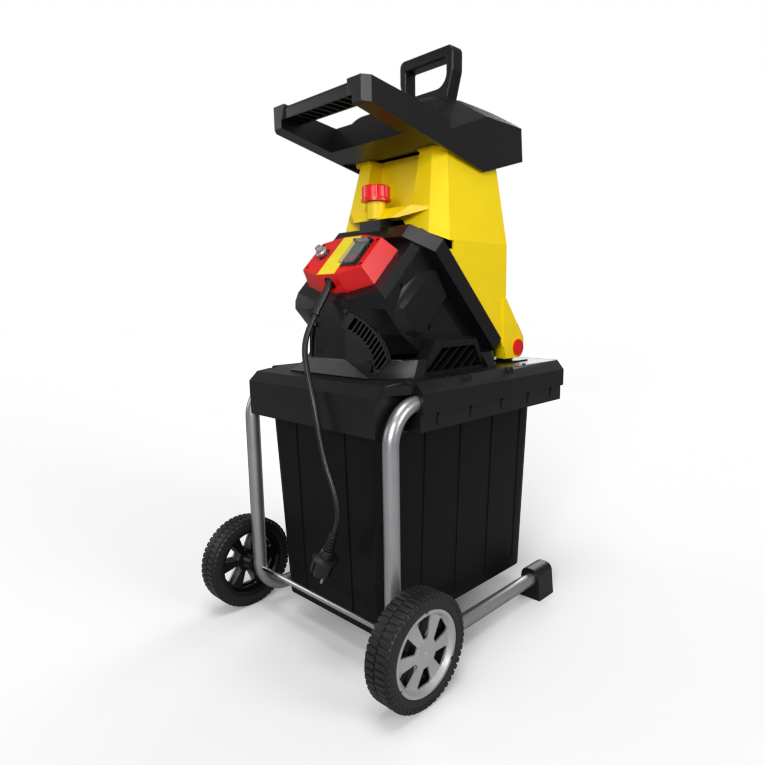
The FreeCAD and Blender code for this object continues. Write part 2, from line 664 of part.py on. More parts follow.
def on_left(thing, label):
    """the mirror image of a sub-part, to build with"""
    twin = doc.addObject("Part::Mirroring", label)
    twin.Label = label
    twin.Source = thing
    twin.Normal = X_AXIS
    return twin


def sweep_corner(body, wall):
    """cut the front corner back above the plinth, more and more towards the side"""
    sections = []
    for lift, line in (
            ("facet_x - 1.5 * " + wall, [("house_front", "house_brow"), ("house_front", "sweep_high"),
                                         ("house_front", "sweep_low"), ("house_front", "plinth_top")]),
            ("house_half + 2", [("sweep_brow_y", "sweep_brow_z"), ("sweep_high_y", "sweep_high"),
                                ("sweep_low_y", "sweep_low"), ("sweep_end_y", "plinth_top")])):
        line = [("%s + %s" % (y, wall), "%s + %s" % (z, wall)) for y, z in line]
        section = on_plane(body, "YZ_Plane", lift)
        outline(section, [(line[0][0], "house_brow + 60")] + line
                + [("house_front - 20", line[-1][1]), ("house_front - 20", "house_brow + 60")])
        sections.append(section)
    doc.recompute()
    mirror(body, loft(body, sections, cut=True))


def on_brow(half, inset):
    """picks the edges where the sloping top meets the side walls"""
    line = size["house_brow"] - size["house_front"] - inset
    return lambda edge: (abs(abs(edge.CenterOfMass.x) - half) < 0.1
                         and abs(edge.CenterOfMass.z - edge.CenterOfMass.y - line) < 1.5)


house = new_body("housing_outside")
side_view = on_plane(house, "YZ_Plane")
outline(side_view, [("house_front", "deck"), ("house_front", "house_brow"),
                    ("house_peak_y", "house_peak_z"), ("house_toe_y", "house_toe_z"),
                    ("house_heel_y", "house_heel_z"), ("house_back", "500"), ("house_back", "deck")])
pad(house, side_view, "2 * house_half", both=True)
dress(house, "Chamfer", "brow_cut", on_brow(size["house_half"], 0))
sweep_corner(house, "0")
facet = on_plane(house, "XY_Plane", "deck - 1")
outline(facet, [("facet_x", "house_front"), ("plinth_half + 4", "facet_y + 2.6"),
                ("plinth_half + 4", "house_front - 10"), ("facet_x", "house_front - 10")])
mirror(house, pocket(house, facet, "plinth_top - deck + 1", reverse=True))
plinth_foot = on_plane(house, "XY_Plane", "deck")
outline(plinth_foot, [("-plinth_corner", "house_front - plinth_flare"),
                      ("plinth_corner", "house_front - plinth_flare"),
                      ("plinth_half + plinth_flare", "facet_side"), ("plinth_half + plinth_flare", "120"),
                      ("house_half", "house_back"), ("-house_half", "house_back"),
                      ("-plinth_half - plinth_flare", "120"), ("-plinth_half - plinth_flare", "facet_side")])
plinth_ledge = on_plane(house, "XY_Plane", "plinth_top")
outline(plinth_ledge, [("-facet_x", "house_front"), ("facet_x", "house_front"),
                       ("plinth_half", "facet_y"), ("plinth_half", "120"),
                       ("house_half", "house_back"), ("-house_half", "house_back"),
                       ("-plinth_half", "120"), ("-plinth_half", "facet_y")])
doc.recompute()
loft(house, [plinth_foot, plinth_ledge])
bore = on_plane(house, "XY_Plane", turn=-size["slope"], at=("0", "disc_y", "disc_z"))
ring(bore, "0", "0", "motor_bore")
pocket(house, bore, "chamber_thick + motor_depth")
duct = on_plane(house, "XY_Plane", "deck - 1")
outline(duct, slab("-spout_half", "spout_front", "spout_half", "spout_back"))
pocket(house, duct, "200", reverse=True)


def louvre_edge(grow="0"):
    """outline of the side louvre, from the deck up"""
    return [("louvre_low_y - " + grow, "deck"), ("louvre_high_y - " + grow, "louvre_top + " + grow),
            ("louvre_back_y + " + grow, "louvre_back_top + " + grow), ("louvre_end_y + " + grow, "deck")]


well_spots = (("-96", "628"), ("-28", "560.5"))
for side in ("-1", "1"):
    groove = on_plane(house, "YZ_Plane", side + " * (house_half + 1)")
    outline(groove, [("-15", "658"), ("9", "598"), ("67", "540"), ("104", "540"), ("110", "590"), ("0", "690")])
    pocket(house, groove, "groove_depth + 1", reverse=side == "-1")
    pad_foot = [("-111", "591"), ("-109", "569"), ("-89", "552"), ("-67", "544"), ("-49", "550"),
                ("17", "613"), ("-18", "658"), ("-41", "657")]
    pad_face = [("-99", "593"), ("-92", "576"), ("-79", "563"), ("-64", "553"), ("-56", "552"),
                ("10", "612"), ("-19", "655"), ("-28", "655")]
    raised = []
    for lift, corners in (("house_half - groove_depth - 2", pad_foot), ("house_half", pad_foot),
                          ("house_half + pad_rise", pad_face)):
        raised.append(on_plane(house, "YZ_Plane", "%s * (%s)" % (side, lift)))
        outline(raised[-1], corners)
    doc.recompute()
    loft(house, raised)
    for spot in well_spots:
        well = on_plane(house, "YZ_Plane", side + " * (house_half + 1)")
        ring(well, spot[0], spot[1], "screw_head + 0.9")
        pocket(house, well, "well_depth + 1", reverse=side == "-1")
    bay = on_plane(house, "YZ_Plane", side + " * (house_half + 40)")
    outline(bay, louvre_edge("0.5"))
    pocket(house, bay, "40", reverse=side == "-1")
    vent = on_plane(house, "YZ_Plane", side + " * (house_half + 1)")
    outline(vent, [("-56", "deck + 8"), ("-28", "528"), ("58", "528"), ("38", "deck + 8")])
    pocket(house, vent, "house_wall + 3", reverse=side == "-1")
end_bore = on_plane(house, "XY_Plane", turn=-size["slope"], at=("0", "disc_y", "disc_z"))
ring(end_bore, "0", "0", "end_bearing")
pocket(house, end_bore, "chamber_thick + motor_depth + bearing_width")

seat = new_body("grille_seat")
seat_face = on_plane(seat, "XZ_Plane", "-seat_depth")
outline(seat_face, [("0", "20"), ("0", "98"), ("10", "106"), ("64", "78", "107"), ("77", "27"), ("76", "20")])
pad(seat, seat_face, "seat_depth + 0.6")
on_facet(seat)

cavity = new_body("housing_cavity")
inner_side = on_plane(cavity, "YZ_Plane")
outline(inner_side, [("house_front + house_wall", "deck - 1"), ("house_front + house_wall", "house_brow - 2"),
                     ("house_peak_y - 1", "house_peak_z - 8"), ("62", "573"), ("62", "deck - 1")])
pad(cavity, inner_side, "2 * (house_half - house_wall)", both=True)
dress(cavity, "Chamfer", "brow_cut - 3", on_brow(size["house_half"] - size["house_wall"], 7))
sweep_corner(cavity, "sweep_wall")
inner_facet = on_plane(cavity, "XY_Plane", "deck - 2")
outline(inner_facet, [("facet_x - 2", "house_front + house_wall"),
                      ("plinth_half + 2", "facet_y + 2.6 + house_wall"),
                      ("plinth_half + 2", "house_front - 10"), ("facet_x - 2", "house_front - 10")])
mirror(cavity, pocket(cavity, inner_facet, "plinth_top + sweep_wall - deck + 2", reverse=True))
for side in ("-1", "1"):
    behind_groove = on_plane(cavity, "YZ_Plane", side + " * (house_half + 1)")
    outline(behind_groove, [("-24", "652"), ("2", "592"), ("60", "532"), ("110", "532"), ("110", "600"),
                            ("0", "700")])
    pocket(cavity, behind_groove, "2 * groove_depth", reverse=side == "-1")
barrel = on_plane(cavity, "XY_Plane", turn=-size["slope"], at=("0", "disc_y", "disc_z"))
ring(barrel, "0", "0", "barrel_radius")
pocket(cavity, barrel, "barrel_length")

vents = crescent("grille_opening", "grille_margin + 1", "-seat_depth", "seat_depth + 1")
recess = crescent("grille_recess", "-0.6", "0", "40")
facet_wells = new_body("facet_wells")
well = on_plane(facet_wells, "XZ_Plane", "-well_depth")
ring(well, "2", "107", "screw_head + 0.9")
ring(well, "18", "12", "screw_head + 0.9")
pad(facet_wells, well, "well_depth + 12")
on_facet(facet_wells)
doc.recompute()
house = boolean("MultiFuse", "housing_seated", house, [seat, on_left(seat, "grille_seat_left")])
house = boolean("Cut", "housing_shell", house, cavity)
cutters = [vents, recess, facet_wells]
for index, cutter in enumerate(cutters + [on_left(cutter, cutter.Label + "_left") for cutter in cutters]):
    house = boolean("Cut", "housing_cut_%d" % index, house, cutter)
keep(house, "motor_housing")


# ---------------------------------------------------------------- motor and cutter
def washer_body(label, outer, inner, top, length):
    body = new_body(label)
    sketch = on_plane(body, "XY_Plane", "-(%s) - (%s)" % (top, length))
    ring(sketch, "0", "0", outer)
    ring(sketch, "0", "0", inner)
    pad(body, sketch, length)
    on_slope(body)
    return keep(body)


washer_body("motor_stator", "stator_outer", "stator_inner", "stator_top", "stator_length")
washer_body("upper_bearing", "bearing_radius", "shaft_radius + running_gap", "chamber_thick - chamber_floor",
            "bearing_width - 1")
washer_body("lower_bearing", "end_bearing", "shaft_radius + running_gap",
            "chamber_thick + motor_depth", "bearing_width - 1")
washer_body("cutting_disc", "disc_radius", "shaft_radius", "disc_top", "disc_thick")
washer_body("cooling_fan", "fan_radius", "shaft_radius", "fan_top", "fan_width")

shaft = new_body("rotor_shaft")
profile = on_plane(shaft, "XZ_Plane")
outline(profile, [("0", "-shaft_length"), ("shaft_radius", "-shaft_length"),
                  ("shaft_radius", "-stator_top - stator_length + 4"),
                  ("rotor_radius", "-stator_top - stator_length + 4"),
                  ("rotor_radius", "-stator_top - 4"), ("shaft_radius", "-stator_top - 4"),
                  ("shaft_radius", "-disc_top"), ("0", "-disc_top")])
turn_about(shaft, profile, "V_Axis")
on_slope(shaft)
keep(shaft)

blades = new_body("shredder_blades")
for sign in ("1", "-1"):
    blade = on_plane(blades, "XY_Plane", "-disc_top")
    outline(blade, slab(sign + " * 30", sign + " * -16", sign + " * 96", sign + " * 12"))
    pad(blades, blade, "blade_thick")
on_slope(blades)
keep(blades)

bolt = new_body("disc_bolt")
head = on_plane(bolt, "XY_Plane", "-disc_top")
ring(head, "0", "0", "14")
pad(bolt, head, "7")
on_slope(bolt)
keep(bolt)


# ---------------------------------------------------------------- hopper
def hopper_solid(name, inset):
    """tapering trunk of the hopper; the inset gives its inside"""
    body = new_body(name)
    cut = "hopper_corner - %s / 2" % inset
    levels = []
    rows = (("hopper_top", "hopper_top_half", "hopper_top_front", "hopper_top_back", "18 - %s / 2" % inset),
            ("hopper_mid", "hopper_mid_half", "hopper_mid_front", "hopper_mid_back", cut),
            ("hopper_base", "hopper_base_half", "hopper_mid_front", "hopper_mid_back + 1", cut))
    for level, half, front, back, corner in rows:
        height = level
        if inset != "0":
            height = {"hopper_top": "hopper_top + 1", "hopper_mid": "hopper_mid",
                      "hopper_base": "hopper_base - 1"}[level]
        sketch = on_plane(body, "XY_Plane", height)
        outline(sketch, eight("(%s - %s)" % (half, inset), "%s + %s" % (front, inset),
                              "%s - %s" % (back, inset), "(%s)" % corner))
        levels.append(sketch)
    doc.recompute()
    loft(body, levels[0:2])
    loft(body, levels[1:3])
    return body


trunk = hopper_solid("hopper_outside", "0")
hollow_trunk = hopper_solid("hopper_inside", "hopper_wall")
doc.recompute()
walls = boolean("Cut", "hopper_walls", trunk, hollow_trunk)

extras = new_body("hopper_extras")
niche_block = on_plane(extras, "YZ_Plane")
outline(niche_block, [("-14", "niche_floor - 4"), ("niche_back + 4", "niche_floor - 4"),
                      ("niche_back + 4", "hopper_top"), ("hopper_top_front + 1", "hopper_top"),
                      ("-8", "niche_floor")])
pad(extras, niche_block, "2 * (niche_half + 4)", both=True)
lip = on_plane(extras, "YZ_Plane")
outline(lip, [("-6", "niche_floor - 4"), ("-27", "niche_floor"), ("lip_front", "lip_low"),
              ("lip_front + 6", "lip_low"), ("-10", "niche_floor - 8")])
pad(extras, lip, "2 * lip_half", both=True)
wing = on_plane(extras, "XY_Plane", "lip_low - 5")
outline(wing, [("lip_flat", "lip_front - 1"), ("lip_half + 4", "lip_front - 1"), ("lip_half + 4", "-8")])
mirror(extras, pocket(extras, wing, "40", reverse=True))
flange = on_plane(extras, "XY_Plane", "hopper_top")
outline(flange, eight("hopper_top_half + 8.5", "hopper_top_front - 6", "hopper_top_back + 6", "18"))
outline(flange, eight("hopper_top_half - 3", "hopper_top_front + 3", "hopper_top_back - 3", "17"))
pad(extras, flange, "4", reverse=True)
lugs = on_plane(extras, "YZ_Plane")
outline(lugs, [("house_back + 1", "hopper_base + 1"),
               ("hinge_y + lug_radius", "hinge_z - lug_radius", "lug_radius - 1"),
               ("hinge_y + lug_radius", "hinge_z + 18", "14"), ("172", "606"), ("160", "606")])
pad(extras, lugs, "2 * lug_outer", both=True)
gap = on_plane(extras, "YZ_Plane")
outline(gap, [("140", "480"), ("240", "480"), ("240", "620"), ("140", "620")])
pocket(extras, gap, "2 * lug_inner", both=True)
doc.recompute()
rough = boolean("MultiFuse", "hopper_rough", walls, [extras])

cutter = new_body("hopper_cutter")
below = on_plane(cutter, "YZ_Plane")
outline(below, [("-80", "766 + seam"), ("house_heel_y + seam", "house_heel_z - 0.1 + seam"),
                ("house_back + 0.8", "hinge_z"), ("house_back + 8", "hopper_base - 4"),
                ("house_back + 8", "470"), ("-80", "470")])
pad(cutter, below, "400", both=True)
arch = on_plane(cutter, "XZ_Plane", "60")
outline(arch, [("-140", "690"), ("140", "690"), ("140", "702"), ("90", "726"), ("60", "727"), ("42", "745"),
               ("-42", "745"), ("-60", "727"), ("-90", "726"), ("-140", "702")])
pad(cutter, arch, "75", reverse=True)
niche = on_plane(cutter, "YZ_Plane")
outline(niche, [("-60", "niche_floor"), ("niche_back", "niche_floor"), ("niche_back", "hopper_top + 5"),
                ("-60", "hopper_top + 5")])
pad(cutter, niche, "2 * niche_half", both=True)
doc.recompute()
shaped = boolean("Cut", "hopper_shaped", rough, cutter)
neck_body = new_body("hopper_neck")
collar = on_plane(neck_body, "XY_Plane", "lip_low + 2")
ring(collar, "0", "lock_y", "neck_radius")
pad(neck_body, collar, "neck_top - lip_low - 2")
doc.recompute()
shell = boolean("MultiFuse", "hopper_whole", shaped, [neck_body])
drill = new_body("hopper_drill")
hole = on_plane(drill, "XY_Plane", "720")
ring(hole, "0", "lock_y", "screw_radius + 0.3")
pad(drill, hole, "100")
pin_hole = on_plane(drill, "YZ_Plane")
ring(pin_hole, "hinge_y", "hinge_z", "pin_radius + running_gap")
pad(drill, pin_hole, "2 * (lug_outer - 1)", both=True)
doc.recompute()
keep(boolean("Cut", "hopper_shell", shell, drill))


# ---------------------------------------------------------------- hinge
bracket = new_body("hinge_bracket")
foot_plate = on_plane(bracket, "XY_Plane", "deck")
outline(foot_plate, slab("-146", "187", "146", "238"))
pad(bracket, foot_plate, "plate_wall")
ears = on_plane(bracket, "YZ_Plane")
outline(ears, [("hinge_y - 10.5", "deck + 1"), ("hinge_y + 22", "deck + 1"),
               ("hinge_y + 10.5", "hinge_z + 10.5", "10.4"), ("hinge_y - 10.5", "hinge_z + 10.5", "10.4")])
pad(bracket, ears, "2 * ear_outer", both=True)
between = on_plane(bracket, "YZ_Plane")
outline(between, slab("hinge_y - 40", "deck + plate_wall", "hinge_y + 40", "hinge_z + 20"))
pocket(bracket, between, "2 * ear_inner", both=True)
ear_hole = on_plane(bracket, "YZ_Plane")
ring(ear_hole, "hinge_y", "hinge_z", "pin_radius")
pocket(bracket, ear_hole, "4 * ear_outer", both=True)
keep(bracket)

pins = new_body("hinge_pins")
pin = on_plane(pins, "YZ_Plane", "ear_inner - 2")
ring(pin, "hinge_y", "hinge_z", "pin_radius")
mirror(pins, pad(pins, pin, "lug_outer - ear_inner"))
keep(pins)

caps = new_body("hinge_caps")
cap = on_plane(caps, "YZ_Plane", "lug_outer")
ring(cap, "hinge_y", "hinge_z", "hinge_cap_radius")
mirror(caps, pad(caps, cap, "3.5"))
keep(caps)


# ---------------------------------------------------------------- hood
def hood_dome(name, inset):
    """arched dome over the mouth; the inset gives its inside"""
    body = new_body(name)
    side_view = on_plane(body, "YZ_Plane")
    if inset == "0":
        outline(side_view, [("hood_foot_y", "hood_foot - 7.3"), ("hood_step_y", "hood_step"),
                            ("hood_crown_y", "hood_crown", "60"), ("hood_rear_y", "hood_rear", "30"),
                            ("hood_tail_y", "hood_tail"), ("hood_crease_y", "hood_crease"),
                            ("hood_low_y", "hood_low")])
    else:
        outline(side_view, [("hood_foot_y + 9", "hood_plate + 14"), ("hood_step_y + 8", "hood_step - 2"),
                            ("hood_crown_y", "hood_crown - 4", "60"),
                            ("hood_rear_y - 4", "hood_rear - 4", "28"),
                            ("hood_tail_y - 5", "hood_plate + 4"), ("-14", "hood_plate + 4")])
    pad(body, side_view, "2 * (hood_half - %s)" % inset, both=True)
    crown = "hood_crown - %s" % inset
    straight = on_plane(body, "XZ_Plane", "80")
    outline(straight, [("-hood_half - 1", "arch_shoulder - %s" % inset), ("-arch_flat", crown, "60"),
                       ("arch_flat", crown, "60"), ("hood_half + 1", "arch_shoulder - %s" % inset),
                       ("hood_half + 1", "hood_crown + 30"), ("-hood_half - 1", "hood_crown + 30")])
    pocket(body, straight, "400")
    rise = "hood_step - %s" % inset
    sloping = on_plane(body, "XZ_Plane", turn=21.1, at=("0", rise + " - 13.5", "80"))
    outline(sloping, [("-hood_half - 1", "-58"), ("-arch_flat", "0", "60"), ("arch_flat", "0", "60"),
                      ("hood_half + 1", "-58"), ("hood_half + 1", "90"), ("-hood_half - 1", "90")])
    pocket(body, sloping, "400")
    return body


dome = hood_dome("hood_outside", "0")
arm = on_plane(dome, "YZ_Plane")
outline(arm, [("hood_front", "hood_low_front"), ("hood_front", "hood_high_front"),
              ("hood_joint_y", "hood_joint_z"), ("24", "904"), ("24", "852.3")])
pad(dome, arm, "2 * hood_half", both=True)
reach = on_plane(dome, "XY_Plane", "hood_low - 20")
outline(reach, slab("-arm_inner", "grip_back", "arm_inner", "hood_foot_y"))
pocket(dome, reach, "200", reverse=True)
over = on_plane(dome, "YZ_Plane")
outline(over, [("hood_foot_y - 0.5", "hood_foot - 9"), ("hood_foot_y - 0.5", "1000"),
               ("hood_step_y", "1000"), ("hood_step_y", "hood_step")])
pocket(dome, over, "2 * arm_inner", both=True)
bar_under = on_plane(dome, "XY_Plane", "hood_low_front - 30")
outline(bar_under, slab("-arm_inner", "hood_front - 1", "arm_inner", "grip_back + 1"))
pocket(dome, bar_under, "bar_low - hood_low_front + 30", reverse=True)
bar_recess = on_plane(dome, "YZ_Plane")
outline(bar_recess, [("hood_front - 1", "hood_low_front - 5"), ("hood_front + bar_set", "hood_low_front - 5"),
                     ("hood_front + bar_set", "bar_face"), ("grip_back", "bar_heel"),
                     ("grip_back", "hood_high_front + 11"), ("hood_front - 1", "hood_high_front + 11")])
pocket(dome, bar_recess, "2 * bar_half", both=True)
dress(dome, "Chamfer", "11", lambda edge: vertical(edge) and edge.CenterOfMass.y < size["hood_front"] + 0.5
      and abs(edge.CenterOfMass.x) > 118)
dress(dome, "Fillet", "5", lambda edge: edge.CenterOfMass.y < size["hood_front"] + 2
      and abs(edge.CenterOfMass.x) < 1 and edge.CenterOfMass.z > 920)
cell = on_plane(dome, "XY_Plane", "hood_low_front - 30")
outline(cell, slab("1 - bar_half - cell_half", "hood_front + 4", "1 - bar_half + cell_half", "grip_back - 5"))
row_of_cells = pocket(dome, cell, "cell_roof - hood_low_front + 30", reverse=True)
along(dome, row_of_cells, "X_Axis", "2 * bar_half - 2", 10)
slot = on_plane(dome, "XY_Plane", "hood_crown + 10")
outline(slot, slab("-pusher_half - 2", "pusher_y - pusher_depth - 2", "pusher_half + 2",
                   "pusher_y + pusher_depth + 2"))
pocket(dome, slot, "100")
under = on_plane(dome, "YZ_Plane")
outline(under, slab("-12", "hood_low - 20", "hood_tail_y - 7", "hood_plate"))
pocket(dome, under, "2 * (hood_half - hood_wall)", both=True)
throat = on_plane(dome, "XY_Plane", "hood_plate - 5")
outline(throat, slab("-hopper_top_half + 5", "hopper_top_front + 5", "hopper_top_half - 5",
                     "hopper_top_back - 5"))
pocket(dome, throat, "30", reverse=True)
dome_inside = hood_dome("hood_inside", "hood_wall")
doc.recompute()
keep(boolean("Cut", "hood", dome, dome_inside))

# ---------------------------------------------------------------- feed chute and pusher
chute = new_body("feed_chute")


def chute_section(level, half, front, back, grow="0"):
    sketch = on_plane(chute, "XY_Plane", level)
    return outline(sketch, slab("-(%s) - %s" % (half, grow), "%s - %s" % (front, grow),
                                "%s + %s" % (half, grow), "%s + %s" % (back, grow)))


mouth_half = "pusher_half + chute_gap"
mouth_front = "pusher_y - pusher_depth - chute_gap"
mouth_back = "pusher_y + pusher_depth + chute_gap"
tall = chute_section("720", mouth_half, mouth_front, mouth_back, "chute_wall")
pad(chute, tall, "chute_top - 720")
collar = chute_section("hood_plate + 4", "hopper_top_half - 2", "hopper_top_front + 2", "hopper_top_back - 2")
pad(chute, collar, "4")
funnel = [chute_section("720", mouth_half, mouth_front, mouth_back, "chute_wall"),
          chute_section("560", "56", "48", "112", "chute_wall")]
doc.recompute()
loft(chute, funnel)
bore_top = chute_section("720", mouth_half, mouth_front, mouth_back)
pocket(chute, bore_top, "chute_top - 719", reverse=True)
bore_low = [chute_section("720", mouth_half, mouth_front, mouth_back), chute_section("559", "56", "48", "112")]
doc.recompute()
loft(chute, bore_low, cut=True)
trim = on_plane(chute, "YZ_Plane")
outline(trim, [("-20", "disc_y + disc_z + 24"), ("disc_y + 150", "disc_z - 146"), ("disc_y + 150", "500"),
               ("-20", "500")])
pocket(chute, trim, "300", both=True)
keep(chute)

pusher = new_body("pusher")
grip = on_plane(pusher, "XZ_Plane", "-pusher_y")
outline(grip, [("-handle_base_half", "pusher_top"), ("-handle_half", "1012", "22"),
               ("-handle_half", "handle_top", "12"), ("handle_half", "handle_top", "12"),
               ("handle_half", "1012", "22"), ("handle_base_half", "pusher_top")])
pad(pusher, grip, "2 * handle_thick", both=True)
finger_hole = on_plane(pusher, "XZ_Plane", "-pusher_y")
outline(finger_hole, [("-handle_half + handle_arm", "handle_low", "14"),
                      ("-handle_half + handle_arm", "handle_top - 20", "3"),
                      ("handle_half - handle_arm", "handle_top - 20", "3"),
                      ("handle_half - handle_arm", "handle_low", "24")])
pocket(pusher, finger_hole, "4 * handle_thick", both=True)
dress(pusher, "Fillet", "3.5", lambda edge: abs(abs(edge.CenterOfMass.y - 112) - 15) < 0.1
      and edge.CenterOfMass.z > 980)
ram = on_plane(pusher, "XY_Plane", "pusher_top + 1")
outline(ram, slab("-pusher_half", "pusher_y - pusher_depth", "pusher_half", "pusher_y + pusher_depth"))
pad(pusher, ram, "pusher_top + 1 - pusher_low", reverse=True)
dress(pusher, "Chamfer", "7", lambda edge: abs(abs(edge.CenterOfMass.x) - size["pusher_half"]) < 0.1
      and edge.CenterOfMass.z > size["pusher_top"])
ram_inside = on_plane(pusher, "XY_Plane", "pusher_low - 1")
outline(ram_inside, slab("-pusher_half + 4", "pusher_y - pusher_depth + 4", "pusher_half - 4",
                         "pusher_y + pusher_depth - 4"))
pocket(pusher, ram_inside, "pusher_top - pusher_low - 6", reverse=True)
keep(pusher)

# ---------------------------------------------------------------- lock
post = new_body("lock_post")
post_side = on_plane(post, "YZ_Plane")
outline(post_side, [("post_front", "post_top"), ("post_back", "post_top"), ("post_back", "707.7"),
                    ("-45.4", "731"), ("post_front", "724.6")])
pad(post, post_side, "2 * post_half", both=True)
well = on_plane(post, "XY_Plane", "post_top + 1")
ring(well, "0", "lock_y", "insert_radius")
pocket(post, well, "insert_depth + 1")
keep(post)

insert = new_body("lock_insert")
funnel_side = on_plane(insert, "XZ_Plane")
outline(funnel_side, [("3.4", "post_top - insert_depth"), ("insert_radius", "post_top - insert_depth"),
                      ("insert_radius", "post_top"), ("9.3", "post_top"), ("5", "post_top - 7"),
                      ("3.4", "post_top - 7")])
turn_about(insert, funnel_side, "V_Axis")
place(insert, "0", "lock_y")
keep(insert)

lock_washer = new_body("lock_washer")
flat_ring = on_plane(lock_washer, "XY_Plane", "neck_top")
ring(flat_ring, "0", "lock_y", "14")
ring(flat_ring, "0", "lock_y", "screw_radius + 0.3")
pad(lock_washer, flat_ring, "knob_low - neck_top")
keep(lock_washer)

screw = new_body("lock_screw")
screw_side = on_plane(screw, "XZ_Plane")
outline(screw_side, [("0", "screw_tip"), ("2.5", "screw_tip"), ("screw_radius", "screw_tip + 4"),
                     ("screw_radius", "knob_low + 12"), ("0", "knob_low + 12")])
turn_about(screw, screw_side, "V_Axis")
place(screw, "0", "lock_y")
keep(screw)

knob = new_body("lock_knob")
knob_side = on_plane(knob, "XZ_Plane")
outline(knob_side, [("0", "knob_low + 12"), ("screw_radius", "knob_low + 12"), ("screw_radius", "knob_low"),
                    ("knob_radius", "knob_low"), ("knob_radius", "knob_low + 4"),
                    ("knob_radius - 1.5", "knob_low + 6"), ("knob_radius - 1.5", "knob_high - 3"),
                    ("knob_radius - 5", "knob_high"), ("0", "knob_high + 1.5")])
turn_about(knob, knob_side, "V_Axis")
flute = on_plane(knob, "XY_Plane", "knob_low + 6")
ring(flute, "knob_radius + 1.8", "0", "5.4")
around(knob, pocket(knob, flute, "40", reverse=True), "Z_Axis", 8)
place(knob, "0", "lock_y")
keep(knob)


# ---------------------------------------------------------------- switch box, on the sloping front
def on_front(thing):
    """lay a sub-part's own Z square to the sloping front of the housing"""
    return place(thing, "0", "switch_y", "switch_z", X_AXIS, size["slope"])


def shield(level, inset="0"):
    """outline of the box: narrow nose and brow, broad shoulders; the inset gives its inside"""
    nose = "%s_nose - 0.16 * %s" % (level, inset)
    half = "%s_half - %s" % (level, inset)
    right = [(nose, "%s_low + %s" % (level, inset)), (half, "%s_chin + 0.7 * %s" % (level, inset)),
             (half, "%s_cheek - 0.78 * %s" % (level, inset)), (nose, "%s_high - %s" % (level, inset))]
    return right + [("-(%s)" % across, up) for across, up in reversed(right)]


box = new_body("switch_box")
base = on_plane(box, "XY_Plane")
outline(base, shield("base"))
face = on_plane(box, "XY_Plane", "switch_height")
outline(face, shield("face"))
doc.recompute()
loft(box, [base, face])
base_inside = on_plane(box, "XY_Plane", "-1")
outline(base_inside, shield("base", "5"))
face_inside = on_plane(box, "XY_Plane", "switch_height - 4")
outline(face_inside, shield("face", "2"))
doc.recompute()
loft(box, [base_inside, face_inside], cut=True)
notch = on_plane(box, "XZ_Plane", "5 - base_low")
outline(notch, [("-notch_half", "notch_floor"), ("notch_half", "notch_floor"),
                ("notch_half", "notch_roof", "10"), ("-notch_half", "notch_roof", "10")])
pocket(box, notch, "notch_back - base_low + 5")
plate_seat = on_plane(box, "XY_Plane", "switch_height + 1")
outline(plate_seat, slab("plate_x - plate_half", "plate_low", "plate_x + plate_half", "plate_high"))
pocket(box, plate_seat, "plate_thick + 3")
boot_seat = on_plane(box, "XY_Plane", "switch_height + 1")
ring(boot_seat, "reset_x", "reset_y", "reset_radius + 0.4")
pocket(box, boot_seat, "8")
wells = on_plane(box, "XY_Plane", "switch_height + 1")
for sign in ("-", ""):
    ring(wells, sign + "(face_half - 7)", "face_chin + 6", "screw_head + 0.2")
    ring(wells, sign + "(face_half - 7)", "face_cheek - 4", "screw_head + 0.2")
pocket(box, wells, "3.5")
on_front(box)
keep(box)

unit = new_body("switch_unit")
block = on_plane(unit, "XY_Plane", "switch_height - plate_thick - 2")
outline(block, slab("plate_x - 18", "plate_low + 5", "plate_x + 18", "plate_high - 10"))
pad(unit, block, "unit_height", reverse=True)
on_front(unit)
keep(unit)

breaker = new_body("overload_breaker")
block = on_plane(breaker, "XY_Plane", "switch_height - 8")
outline(block, slab("reset_x - 12", "reset_y - 14", "reset_x + 12", "reset_y + 14"))
pad(breaker, block, "unit_height", reverse=True)
on_front(breaker)
keep(breaker)

plate = new_body("switch_plate")
panel = on_plane(plate, "XY_Plane", "switch_height - plate_thick - 2")
outline(panel, slab("plate_x - plate_half", "plate_low", "plate_x + plate_half", "plate_high"))
pad(plate, panel, "plate_thick + 3")
for low, high in (("button_low", "button_mid - 1"), ("button_mid + 1", "button_high")):
    opening = on_plane(plate, "XY_Plane", "switch_height + 3")
    outline(opening, slab("plate_x - button_half - button_gap", low + " - button_gap",
                          "plate_x + button_half + button_gap", high + " + button_gap"))
    pocket(plate, opening, "plate_thick + 1")
for sign in ("-1", "1"):
    knuckle = on_plane(plate, "YZ_Plane", "plate_x + %s * (plate_half - 2)" % sign)
    outline(knuckle, [("flap_hinge - 2.6", "switch_height"), ("flap_hinge + 2.8", "switch_height"),
                      ("flap_hinge + 2.8", "flap_lift + 3.4", "2.5"),
                      ("flap_hinge - 2.6", "flap_lift + 3.4", "2.5")])
    pad(plate, knuckle, "4", both=True)
    eye = on_plane(plate, "YZ_Plane", "plate_x + %s * (plate_half - 2)" % sign)
    ring(eye, "flap_hinge", "flap_lift + 1", "flap_pin")
    pocket(plate, eye, "6", both=True)
on_front(plate)
keep(plate)

for label, low, high in (("stop_button", "button_low", "button_mid - 1"),
                         ("start_button", "button_mid + 1", "button_high")):
    button = new_body(label)
    top = on_plane(button, "XY_Plane", "switch_height - 1")
    outline(top, [c + ("2",) for c in slab("plate_x - button_half", low, "plate_x + button_half", high)])
    pad(button, top, "button_rise + 1")
    on_front(button)
    keep(button)

pin_body = rod("flap_pin", "flap_pin", "2 * plate_half")
spot = ("plate_x - plate_half", "flap_hinge", "flap_lift + 1")
near_pin = Rotation(X_AXIS, size["slope"]).multVec(Vector(*[value(text) for text in spot]))
pin_body.Placement = Placement(Vector(near_pin.x, near_pin.y + size["switch_y"], near_pin.z + size["switch_z"]),
                               Rotation(Y_AXIS, 90))
keep(pin_body)

